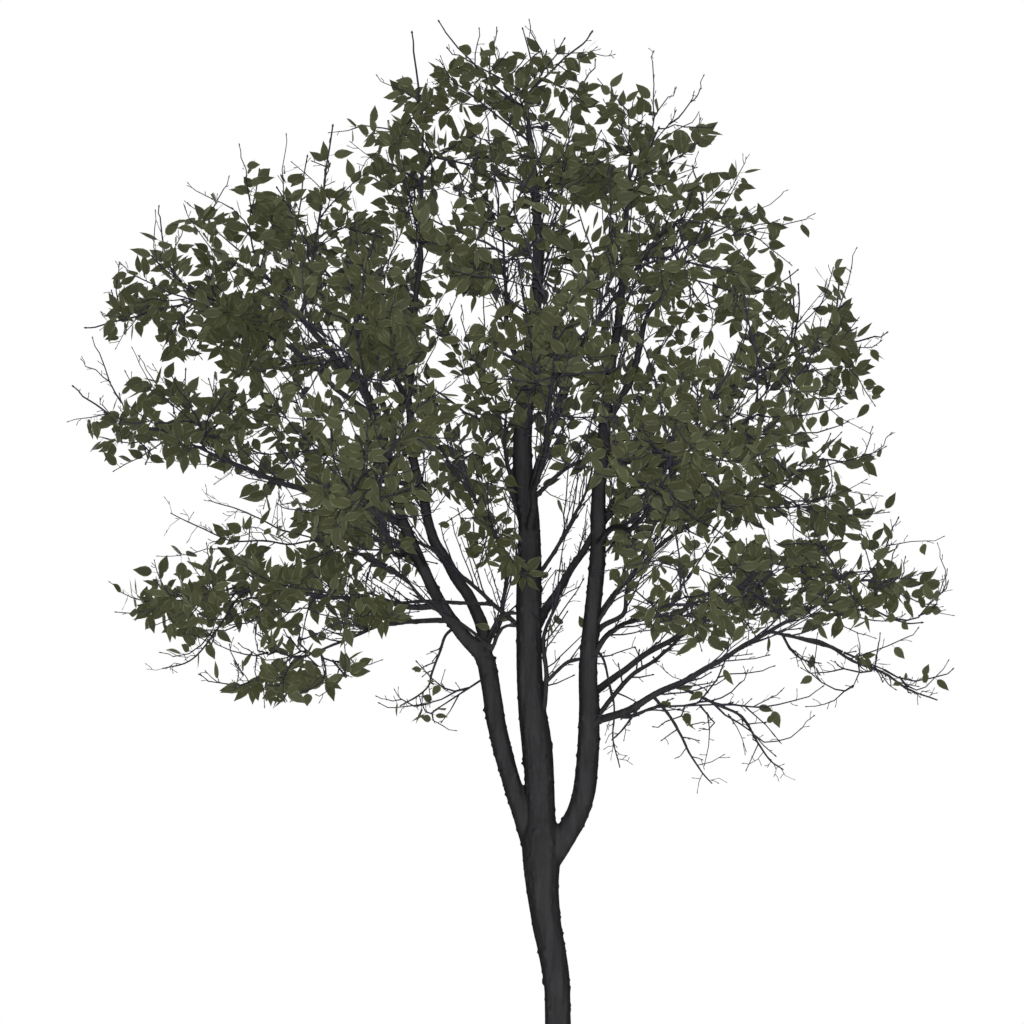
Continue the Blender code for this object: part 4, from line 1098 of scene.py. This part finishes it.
def carve_bark(mesh, settings):
    """Moves the corners of the trunk's mesh into ridges, wrinkles, healed scars and the root flare."""
    places, normals = read_rows(mesh, "co"), read_rows(mesh, "normal")
    # ridges 60 mm apart that run up the wood, deeper towards the ground, and fine wrinkles across it
    wide, tall = RIDGE_CELLS
    ridges = numpy.array([noise.noise((x * wide, y * wide, z * tall)) for x, y, z in places])
    wide, tall = WRINKLE_CELLS
    wrinkles = numpy.array([noise.noise((x * wide, y * wide, z * tall)) for x, y, z in places])
    depth = settings.relief * (1 + DEEPER[0] * numpy.exp(-places[:, 2] / DEEPER[1]))
    lift = ridges * depth + wrinkles * settings.relief * WRINKLES
    chance = random.Random(f"{SEED} scars")
    for _ in range(settings.bumps):
        centre = places[chance.randrange(len(places))]
        close = numpy.flatnonzero(numpy.abs(places[:, 2] - centre[2]) < SCAR_REACH)
        size = chance.uniform(*SCAR_RADII)
        near = numpy.exp(-((places[close] - centre) ** 2).sum(axis=1) / size**2)
        lift[close] += near * settings.bump_height * chance.uniform(*SCAR_HEIGHTS) ** SCAR_POWER
    places = places + normals * lift[:, None]
    axis = numpy.array(TRUNK[0][:2])
    low = places[:, 2] < FLARE_HEIGHT
    gap = places[low, :2] - axis
    places[low, :2] = axis + gap * flare(numpy.arctan2(gap[:, 1], gap[:, 0]), places[low, 2])[:, None]
    places[:, 2] = numpy.maximum(places[:, 2], 0.0)
    mesh.vertices.foreach_set("co", places.ravel())
    mesh.update()


BOUGH_SIDES, SLIM_SIDES = 11, 7  # sides of the bark of a bough and of a side limb
BULGE, BULGE_CELLS = 0.09, (1.1, 3.2)  # height in radii, and cells around the wood and in a metre of it
FURROW, FURROW_CELLS = 0.07, (2, 26)
BOUGH_SHIFTS = (7, 9)  # keep the bulges and the furrows of two boughs apart
KNOTS = 10  # on a metre of a bough
KNOT_FROM = 0.1  # no knot is closer to the root
KNOT_LENGTH = 0.022
KNOT_HEIGHTS = (0.003, 0.009)
KNOT_RADIUS = 0.012  # on slimmer limbs the knots grow lower in proportion
KNOT_POWER = 3  # how narrow a knot is around its limb


def bough_relief(number, angles, ways, radii, chance):
    """The radius of a bough's bark at distances along it and angles around it, against its even radius."""
    relief = []
    for way in ways:
        relief.append([])
        for x, y in ((math.cos(angle), math.sin(angle)) for angle in angles):
            wide, tall = BULGE_CELLS
            bulge = noise.noise((x * wide, y * wide + number * BOUGH_SHIFTS[0], way * tall))
            wide, tall = FURROW_CELLS
            furrow = noise.noise((x * wide, y * wide, way * tall + number * BOUGH_SHIFTS[1]))
            relief[-1].append(1 + BULGE * bulge + FURROW * furrow)
    relief = numpy.array(relief)
    # knots, as short swellings on one side
    for _ in range(round(ways[-1] * KNOTS)):
        at, facing = chance.uniform(KNOT_FROM, ways[-1]), chance.uniform(0, 2 * math.pi)
        near = numpy.exp(-((ways - at) / KNOT_LENGTH) ** 2)[:, None]
        height = chance.uniform(*KNOT_HEIGHTS) / numpy.maximum(radii, KNOT_RADIUS)[:, None]
        relief += near * numpy.maximum(0, numpy.cos(angles - facing)) ** KNOT_POWER * height
    return relief


class POPLAR_OT_boughs(bpy.types.Operator):
    """Adds the bark of the boughs"""

    bl_idname = "poplar.boughs"
    bl_label = "Boughs"

    def execute(self, context):
        settings = context.scene.poplar_wood
        batch = Batch()
        chance = random.Random(f"{SEED} boughs")
        for number, name in enumerate(bough_names()):
            path, radii = limb_path(name)
            sides = SLIM_SIDES if name in SIDE_LIMBS else BOUGH_SIDES
            angles = numpy.linspace(0, 2 * math.pi, sides, endpoint=False)
            along = lengths_along(path)
            ways = numpy.arange(0, along[-1], BARK_STEP)
            path = numpy.stack([numpy.interp(ways, along, column) for column in path.T], axis=1)
            radii = numpy.interp(ways, along, radii)
            relief = bough_relief(number, angles, ways, radii, chance)
            batch.add(*tube(path, radii, sides, relief))
        boughs = [name for name in bough_names() if name not in SIDE_LIMBS]
        batch.build("boughs_bark", [bark_material(settings)], "root", boughs)
        return {"FINISHED"}


# ---- twigs


THICK_TWIG = 0.012  # twigs with a thicker foot have five sides, the others four
TWIG_SIDES, SHOOT_SIDES, SPUR_SIDES, STALK_SIDES = (4, 5), 4, 3, 3
LOAD_POWER = 0.33  # a twig's foot thickens by this power of the number of twigs that it carries
LEAST_TIP = 0.6  # a twig's tip against the foot of a last twig, at least
ROOT_SWELL = 1.25
KINKS = 0.009  # how far the places along a twig stray
WHIP_STEPS, WHIP_COUNT = (0.04, 0.09), 2  # an outer twig goes on past its leaves in steps this long
WHIP_RISE, WHIP_STRAY = 0.20, 0.05  # each step turns up, and to any side, by this
WHIP_DROP = 0.3  # a twig that hangs lower below its own foot stops
BUD = ((0.012, 1.7), (0.030, 0.7))  # a bud's belly and point: how far past the tip, radius in tip radii


@functools.cache
def mass_twigs(mass, ratio):
    """The twigs of a mass, as (path, parent twig), and how many twigs each carries, with itself."""
    chance = random.Random(f"{SEED} {mass}")
    twigs = grow(mass, chance, round(SPACES[mass][2] * ratio))
    loads = [1] * len(twigs)
    for number in range(len(twigs) - 1, 0, -1):
        loads[twigs[number][1]] += loads[number]
    return twigs, loads


def twig_radii(mass, ratio, least):
    """Radii of a mass's twigs at both ends, thicker for those that carry more."""
    twigs, loads = mass_twigs(mass, ratio)
    foot = mass_start(mass)[2]
    radii = [(foot, max(foot * 0.5, least))]
    for (_, parent), load in zip(twigs[1:], loads[1:]):
        base = min(least * load**LOAD_POWER, radii[parent][0] * CHILD)
        radii.append((base, max(base * 0.5, least * LEAST_TIP)))
    return radii


def masses_of(side):
    """The masses and sprays on a side of the crown, and the nodes of the solids that they stand for."""
    low, high = SIDES[side]
    members = [mass for mass, space in SPACES.items() if low <= space[0][0] < high]
    return members, [f"foliage_{mass}" for mass in members if mass in MASSES]


class POPLAR_OT_twigs(bpy.types.Operator):
    """Adds the twigs of every mass, with their spurs and buds"""

    bl_idname = "poplar.twigs"
    bl_label = "Twigs"

    def execute(self, context):
        wood, crown = context.scene.poplar_wood, context.scene.poplar_crown
        bark = twig_material(wood)
        for side in SIDES:
            batch = Batch()
            members, nodes = masses_of(side)
            for mass in members:
                add_twigs(batch, mass, crown)
            chance = random.Random(f"{SEED} {side} shoots")
            for path, base, tip, _ in shoots(side):
                radii = base + (tip - base) * numpy.linspace(0, 1, len(path))
                batch.add(*tube(*with_bud(path, radii), SHOOT_SIDES))
                add_spurs(batch, None, path, radii, chance)
            batch.build(f"twigs_{side}", [bark], "root", nodes)
        return {"FINISHED"}


def whip(mass, path, chance):
    """An outer twig's path, carried on past its leaves in a shoot that turns up."""
    outer = numpy.linalg.norm((path[-1] - CROWN_MIDDLE) / CROWN_HALF)
    if outer < THIN_FROM or mass in SPRAYS:
        return path
    ahead, step = unit(path[-1] - path[-2]), chance.uniform(*WHIP_STEPS)
    grown = path
    for _ in range(WHIP_COUNT):
        ahead = unit(ahead + (0, 0, WHIP_RISE) + random_units(chance, 1)[0] * WHIP_STRAY)
        end = grown[-1] + ahead * step
        if ((end < LIMITS[0]) | (end > LIMITS[1])).any() or end[2] < path[0][2] - WHIP_DROP:
            break
        grown = numpy.vstack((grown, end))
    return grown


def with_bud(path, radii):
    """A twig's path and radii with a pointed bud at its tip."""
    ahead = unit(path[-1] - path[-2])
    places = [path[-1] + ahead * distance for distance, _ in BUD]
    return numpy.vstack((path, *places)), numpy.append(radii, [radii[-1] * wide for _, wide in BUD])


def add_twigs(batch, mass, crown):
    """The twigs of one mass."""
    chance = random.Random(f"{SEED} {mass} wood")
    sizes = twig_radii(mass, crown.twigs, crown.twig_radius)
    for (path, parent), (base, tip) in zip(mass_twigs(mass, crown.twigs)[0], sizes):
        sides = TWIG_SIDES[int(base > THICK_TWIG)]
        if parent is None:
            bent = path.copy()
            bent[0] -= unit(path[1] - path[0]) * base * 0.5
            batch.add(*tube(bent, base + (tip - base) * numpy.linspace(0, 1, len(path)), sides))
            continue
        path = whip(mass, path, chance)
        even = base + (tip - base) * numpy.linspace(0, 1, len(path))
        bent, radii = path.copy(), even.copy()
        bent[1:-1] += gauss_rows(chance, len(path) - 2) * KINKS
        radii[0] *= ROOT_SWELL
        batch.add(*tube(*with_bud(bent, radii), sides))
        add_spurs(batch, mass, path, even, chance)


FAN_MIDDLE = (-0.35, 0.10, 4.00)  # straight shoots lean away from here
FAN = (0.7, 0.7, 0.5)  # shares of the limb's heading, the way out from the middle, and a way across
STEM_SHOOTS_FROM = 6.4  # the stems bear shoots above this height
BARE_FOOT = 0.3  # the other limbs bear none on this share of their length
SHOOT_EVERY = 2  # places along a limb from shoot to shoot
STRAIGHT_LENGTHS, STEM_LENGTHS, STRAIGHT_LIFTS = (0.15, 0.85), (0.3, 1.1), (0.05, 0.22)
CROOKED = ("droop", "drop", "outer", "notch", "level", "rising_right")  # limbs with short crooked shoots
CROOKED_LENGTHS, CROOKED_LIFTS, CROOKED_AHEAD = (0.08, 0.34), (-0.2, 0.25), (0.4, 1.1)
CROOKED_FALL = (1.15, 0.5)  # their length against that at the limb's foot, and its fall to the limb's tip
SHOOT_STEP = 0.09  # spacing of the places along a shoot
SHOOT_BENDS, SHOOT_RADII = (0.006, 0.012), (0.0088, 0.0095)  # of straight and of crooked shoots
SHOOT_TAPER = 0.6
LEAFY_SHOOTS = 0.22  # share of the shoots that bears leaves


def shoot_line(name, path, i, crooked, chance):
    """The places along a shoot from one place of a limb's path."""
    ahead = unit(path[i + 1] - path[i])
    out = unit(numpy.cross(ahead, random_units(chance, 1)[0]))
    if crooked:
        length = chance.uniform(*CROOKED_LENGTHS) * (CROOKED_FALL[0] - CROOKED_FALL[1] * i / len(path))
        lean = unit(out + ahead * chance.uniform(*CROOKED_AHEAD))
        lift = chance.uniform(*CROOKED_LIFTS)
    else:
        length = chance.uniform(*(STEM_LENGTHS if name in STEMS else STRAIGHT_LENGTHS))
        away = unit(path[i] - FAN_MIDDLE)
        lean = unit(ahead * FAN[0] + away * FAN[1] + out * FAN[2])
        lift = chance.uniform(*STRAIGHT_LIFTS)
    shares = numpy.linspace(0, 1, max(3, round(length / SHOOT_STEP)))[:, None]
    line = path[i] + lean * length * shares + numpy.array((0, 0, lift)) * length * shares**2
    line[1:] += gauss_rows(chance, len(line), SHOOT_BENDS[crooked])[1:]
    return line


def shoots(side):
    """Slender shoots along the limbs on one side of the crown, as (path, foot and tip radius, leafy)."""
    low, high = SIDES[side]
    for name in (*bough_names(), *STEMS):
        chance = random.Random(f"{SEED} {name} shoots")
        path, radii = limb_path(name)
        crooked = name.startswith(CROOKED)
        first = (path[:, 2] < STEM_SHOOTS_FROM).sum() if name in STEMS else round(len(path) * BARE_FOOT)
        for i in range(first, len(path) - 1, SHOOT_EVERY):
            line = shoot_line(name, path, i, crooked, chance)
            leafy = chance.random() < LEAFY_SHOOTS
            inside = numpy.linalg.norm((line[-1] - CROWN_MIDDLE) / CROWN_HALF) < 1 or crooked
            if low <= line[0][0] < high and inside and ((line > LIMITS[0]) & (line < LIMITS[1])).all():
                base = min(radii[i] * SLIM, SHOOT_RADII[crooked])
                yield line, base, base * SHOOT_TAPER, leafy and not crooked


SPURS = 0.75  # share of the steps along a twig that bears a spur
SPUR_AHEAD, SPUR_RISE = (0.5, 1.2), 0.35  # how far a spur leans along its twig and turns up
SPUR_LENGTHS = (0.015, 0.10)
SPUR_SEATS = (0.1, 0.9)  # where a spur sits on its step
SPUR_RADIUS, SPUR_SLIM = 0.0046, 0.55  # at least this, or this share of the twig's radius
SPUR_TURN, SPUR_STRAY = 0.55, 0.12  # a spur turns at this share of its length, by this share of it
SPUR_TAPER = (1, 0.85, 0.7)


def add_spurs(batch, mass, path, radii, chance):
    """Short knobbly shoots along a twig, each with a bud at its tip."""
    for a, b, radius in zip(path, path[1:], radii):
        if chance.random() > SPURS:
            continue
        ahead = unit(b - a)
        out = unit(numpy.cross(ahead, random_units(chance, 1)[0]))
        way = unit(out + ahead * chance.uniform(*SPUR_AHEAD) + (0, 0, SPUR_RISE))
        length = chance.uniform(*SPUR_LENGTHS)
        root = a + (b - a) * chance.uniform(*SPUR_SEATS)
        turn = root + way * length * SPUR_TURN + random_units(chance, 1)[0] * length * SPUR_STRAY
        line = numpy.array((root, turn, root + way * length))
        if mass is None or fits(mass, line[1:]).all():
            thick = numpy.array(SPUR_TAPER) * max(SPUR_RADIUS, radius * SPUR_SLIM)
            batch.add(*tube(*with_bud(line, thick), SPUR_SIDES))


# ---- leaves


# A blade from its root to its tip: (share of its length, share of its width).
BLADE = ((0.00, 0.0), (0.05, 0.42), (0.18, 0.84), (0.38, 1.0), (0.62, 0.74), (0.82, 0.32), (1.00, 0.0))


@functools.cache
def blade_shape():
    """Corners of a leaf as shares (along, across, upper side) with its faces; the margin is shared."""
    inner, around = BLADE[1:-1], 4
    corners = [(0, 0, 0), (1, 0, 0)]
    for along, wide in inner:
        corners += [(along, -wide, 0), (along, 0, 1), (along, wide, 0), (along, 0, -1)]
    quads, triangles = [], []
    for i in range(len(inner) - 1):
        left, top, right, under = (2 + i * around + k for k in range(around))
        for a, b in ((left, top), (top, right), (right, under), (under, left)):
            quads.append((a, b, b + around, a + around))
    first, last = 2, 2 + (len(inner) - 1) * around
    for a, b in ((0, 1), (1, 2), (2, 3), (3, 0)):
        triangles.append((0, first + b, first + a))
        triangles.append((1, last + a, last + b))
    return numpy.array(corners, dtype=float), (numpy.array(quads), numpy.array(triangles))


SEAT_FROM = 0.12  # leaves sit no nearer to a twig's foot than this share of its length
LEAF_AHEAD = (0.0, 0.8)  # how far a leaf leans along its twig
FACING = (1, 1, 0.45)  # spread of a blade's facing, less up and down than to the sides
WIDTHS, CURLS, FOLDS, TWIST = (0.9, 1.08), (-0.10, 0.14), (0.0, 0.04), 0.25  # as shares of a blade's sizes
BLADE_HALF = 0.0012  # half the thickness of a blade
STALK_RADII = (0.0030, 0.0022, 0.0020)
STALK_SINK, STALK_JOIN = 0.004, 0.006  # a stalk starts this deep in its twig and ends this far up the blade
STALK_BEND = (0.6, 0.003)  # and bends, at this share of its length, by this
MARGIN_STEPS, MARGIN_WIDE = (0.35, 0.7, 1.0), 0.45  # where a leaf's room is tried


def leaf_seat(path, chance, back):
    """A place on a twig's axis this far back from its tip, with the way out of the twig there."""
    ways = lengths_along(path)
    at = max(ways[-1] - back, ways[-1] * SEAT_FROM)
    span = min(int(numpy.searchsorted(ways, at, side="right")) - 1, len(path) - 2)
    a, b = path[span], path[span + 1]
    root = a + (b - a) * (at - ways[span]) / (ways[span + 1] - ways[span])
    ahead = unit(b - a)
    outward = unit(numpy.cross(ahead, random_units(chance, 1)[0]))
    return root, unit(outward + ahead * chance.uniform(*LEAF_AHEAD))


def leaf_across(along, chance):
    """The way across a blade."""
    return unit(numpy.cross(along, [chance.gauss(0, spread) for spread in FACING]))


def add_leaf(batch, root, along, across, size, crown, tone, chance):
    """One leaf: its stalk, and a blade keeled along its rib whose tip bends back."""
    length, width = crown.leaf_length * size, crown.leaf_width * size * chance.uniform(*WIDTHS)
    normal = numpy.cross(along, across)
    stalk = along * crown.stalk * size
    foot = root + stalk
    shares, faces = blade_shape()
    curl, fold = chance.uniform(*CURLS), chance.uniform(*FOLDS)
    droop = shares[:, 0] ** 2 * curl * length
    lift = numpy.abs(shares[:, 1]) * fold * width * 0.5 + shares[:, 2] * BLADE_HALF
    twist = shares[:, 1] * shares[:, 0] * chance.uniform(-TWIST, TWIST) * width * 0.5
    verts = (
        foot
        + along * (shares[:, :1] * length)
        + across * (shares[:, 1:2] * width / 2)
        + normal * (lift - droop + twist)[:, None]
    )
    batch.add(verts, faces, tone, numpy.column_stack((0.5 + shares[:, 1] / 2, shares[:, 0])))
    bend = root + stalk * STALK_BEND[0] + normal * STALK_BEND[1]
    line = numpy.array((root - along * STALK_SINK, bend, foot + along * STALK_JOIN))
    verts, faces = tube(line, numpy.array(STALK_RADII), STALK_SIDES)
    batch.add(verts, faces, tone, numpy.full((len(verts), 2), 0.5))


def leaf_margin(root, along, across, crown):
    """Places along the middle and margin of a leaf that show where it lies."""
    steps = numpy.array(MARGIN_STEPS)[:, None]
    middle = root + along * steps * (crown.leaf_length + crown.stalk)
    wide = across * crown.leaf_width * MARGIN_WIDE
    return numpy.vstack((middle, middle[:2] - wide, middle[:2] + wide))


def leafiness(place):
    """How many leaves grow around a place, against the crown's middle value."""
    change = sum(
        more * math.exp(-((place[0] - x) ** 2 + (place[2] - z) ** 2) / spread**2)
        for patches in PATCHES.values()
        for x, z, spread, more in patches
    )
    outer = numpy.linalg.norm((numpy.array(place) - CROWN_MIDDLE) / CROWN_HALF)
    thinning = min(max((outer - THIN_FROM) / (1 - THIN_FROM), 0), 1) * THIN_BY
    thinning *= min(max((place[2] - THIN_ABOVE[0]) / (THIN_ABOVE[1] - THIN_ABOVE[0]), 0), 1)
    return min(max((1 + change) * (1 - thinning), LEAST_LEAFY), MOST_LEAFY)


HANGING_SHARE, HANGING_SIZE = 0.35, 0.8  # number and size of the leaves on masses named "under"
ROUNDS = 24  # how often a mass's twigs are gone through for room at the most
SPRAY_LEAVES, SPRAY_BACKS, SPRAY_GAPS = (2, 5), (0.0, 0.22), (0.06, 0.14)  # back from the twig's tip
BLADE_MIDDLE = 0.4  # the middle of a blade, as a share of its length
LEAF_ROOM = 0.05  # no two blades' middles are closer
LEAF_SIZES = (0.82, 1.12)
SHOOT_LEAVES, SHOOT_GAPS, SHOOT_SIZES = (1, 3), (0.05, 0.11), (0.75, 1.0)  # the same on the shoots


def add_leaves(batch, mass, crown, tones):
    """The leaves of one mass, in sprays at the ends of its twigs."""
    twigs, _ = mass_twigs(mass, crown.twigs)
    chance = random.Random(f"{SEED} {mass} leaves")
    portion, scale = (HANGING_SHARE, HANGING_SIZE) if mass.startswith("under") else (1, 1)
    mean = sum(leafiness(path[-1]) for path, _ in twigs) / len(twigs)
    wanted = round(SPACES[mass][2] * crown.leaves * mean * portion)
    made, tips = 0, numpy.empty((0, 3))
    order = list(range(1, len(twigs)))
    chance.shuffle(order)
    for number in order * ROUNDS:
        path = twigs[number][0]
        if made >= wanted:
            break
        tone = chance.randrange(tones)
        back = chance.uniform(*SPRAY_BACKS)
        for _ in range(chance.randint(*SPRAY_LEAVES)):
            root, along = leaf_seat(path, chance, back)
            back += chance.uniform(*SPRAY_GAPS)
            across = leaf_across(along, chance)
            middle = root + along * (crown.stalk + crown.leaf_length * BLADE_MIDDLE)
            if chance.random() > leafiness(middle) / MOST_LEAFY:
                continue
            if len(tips) and numpy.linalg.norm(tips - middle, axis=1).min() < LEAF_ROOM:
                continue
            if not fits(mass, leaf_margin(root, along, across, crown)).all():
                continue
            size = chance.uniform(*LEAF_SIZES) * scale
            add_leaf(batch, root, along, across, size, crown, tone, chance)
            tips = numpy.vstack((tips, middle))
            made += 1


def add_shoot_leaves(batch, path, crown, tones, chance):
    """A few leaves at the end of a shoot."""
    tone, back = chance.randrange(tones), 0.0
    for _ in range(chance.randint(*SHOOT_LEAVES)):
        root, along = leaf_seat(path, chance, back)
        back += chance.uniform(*SHOOT_GAPS)
        across = leaf_across(along, chance)
        add_leaf(batch, root, along, across, chance.uniform(*SHOOT_SIZES), crown, tone, chance)


class POPLAR_OT_leaves(bpy.types.Operator):
    """Adds the leaves of every mass, in sprays of one tone"""

    bl_idname = "poplar.leaves"
    bl_label = "Leaves"

    def execute(self, context):
        crown = context.scene.poplar_crown
        colours = (crown.leaf_a, crown.leaf_b, crown.leaf_c, crown.leaf_d, crown.leaf_e)
        names = ("olive", "deep_olive", "light_olive", "dull_olive", "pale_olive")
        tones = [leaf_material(f"poplar_leaf_{name}", colour) for name, colour in zip(names, colours)]
        for side in SIDES:
            batch = Batch()
            members, nodes = masses_of(side)
            for mass in members:
                add_leaves(batch, mass, crown, len(tones))
            chance = random.Random(f"{SEED} {side} shoot leaves")
            for path, _, _, leafy in shoots(side):
                if leafy:
                    add_shoot_leaves(batch, path, crown, len(tones), chance)
            batch.build(f"leaves_{side}", tones, "root", nodes)
        return {"FINISHED"}


# ---- stage

CAMERA_PLACE = (-0.45, -28.0, 1.7)
CAMERA_AIM = 5.48  # height at the tree that the middle of the picture shows
FOCAL_PIXELS = 2825  # focal length on a picture 1024 pixels wide
PICTURE = 1024
SENSOR = 36.0  # mm
VIEW_DEPTH = 200
FRONT_LIGHT_PLACE = (-0.45, -28.4, 1.8)  # just behind the camera
FRONT_LIGHT_RADIUS = 0.2
BACK_LIGHT_TURN = (75, 0, 176)  # degrees
BACK_LIGHT_SPREAD = 16  # degrees
FLOOR_CORNERS = 128


class POPLAR_OT_stage(bpy.types.Operator):
    """Adds the pale floor, the soft light and the camera"""

    bl_idname = "poplar.stage"
    bl_label = "Stage"

    def execute(self, context):
        settings = context.scene.poplar_stage
        bpy.ops.object.select_all(action="DESELECT")
        bpy.ops.mesh.primitive_circle_add(
            vertices=FLOOR_CORNERS, radius=settings.floor_radius, fill_type="NGON"
        )
        floor = context.object
        floor.name = "floor"
        floor.data.materials.append(floor_material(settings.floor))
        bpy.ops.object.light_add(type="POINT", location=FRONT_LIGHT_PLACE, radius=FRONT_LIGHT_RADIUS)
        context.object.name = "front_light"
        context.object.data.energy = settings.key
        bpy.ops.object.light_add(type="SUN", rotation=[math.radians(turn) for turn in BACK_LIGHT_TURN])
        context.object.name = "back_light"
        context.object.data.energy = settings.back
        context.object.data.angle = math.radians(BACK_LIGHT_SPREAD)
        world = bpy.data.worlds.new("studio")
        context.scene.world = world
        world.use_nodes = True
        tree = world.node_tree
        tree.nodes.clear()
        rays = add(tree, "LightPath")
        room = add(tree, "Background", {"Color": (1, 1, 1, 1), "Strength": settings.ambient})
        backdrop = add(tree, "Background", {"Color": (1, 1, 1, 1), "Strength": 1.0})
        sides = {0: rays.outputs["Is Camera Ray"], 1: room.outputs[0], 2: backdrop.outputs[0]}
        seen = add(tree, "MixShader", sides)
        add(tree, "OutputWorld", {"Surface": seen.outputs[0]})
        bpy.ops.object.camera_add(location=CAMERA_PLACE)
        camera = context.object
        pitch = math.atan((CAMERA_AIM - CAMERA_PLACE[2]) / -CAMERA_PLACE[1])
        camera.rotation_euler = (math.pi / 2 + pitch, 0, 0)
        camera.data.sensor_width = SENSOR
        camera.data.lens = FOCAL_PIXELS * SENSOR / PICTURE
        camera.data.dof.use_dof = False
        camera.data.clip_end = VIEW_DEPTH
        context.scene.camera = camera
        context.scene.view_settings.view_transform = "Standard"
        return {"FINISHED"}


# ---- add-on


class POPLAR_PT_tree(bpy.types.Panel):
    """The tree's pieces and their settings"""

    bl_label = "Young poplar"
    bl_idname = "POPLAR_PT_tree"
    bl_space_type = "VIEW_3D"
    bl_region_type = "UI"
    bl_category = "Poplar"

    def draw(self, context):
        for operator in OPERATORS:
            self.layout.operator(operator.bl_idname)
        for name in SETTINGS:
            group = getattr(context.scene, name)
            for setting in type(group).__annotations__:
                self.layout.prop(group, setting)


SETTINGS = {
    "poplar_wood": POPLAR_wood_settings,
    "poplar_crown": POPLAR_crown_settings,
    "poplar_stage": POPLAR_stage_settings,
}
OPERATORS = (POPLAR_OT_trunk, POPLAR_OT_boughs, POPLAR_OT_twigs, POPLAR_OT_leaves, POPLAR_OT_stage)
CLASSES = (*SETTINGS.values(), *OPERATORS, POPLAR_PT_tree)


def register():
    """Adds the classes and the settings."""
    for kind in CLASSES:
        bpy.utils.register_class(kind)
    for name, group in SETTINGS.items():
        setattr(bpy.types.Scene, name, bpy.props.PointerProperty(type=group))


def unregister():
    """Removes the settings and the classes."""
    for name in SETTINGS:
        delattr(bpy.types.Scene, name)
    for kind in reversed(CLASSES):
        bpy.utils.unregister_class(kind)


def main():
    """Builds every piece and the stage."""
    register()
    for operator in OPERATORS:
        family, name = operator.bl_idname.split(".")
        getattr(getattr(bpy.ops, family), name)()


if __name__ == "__main__":
    main()
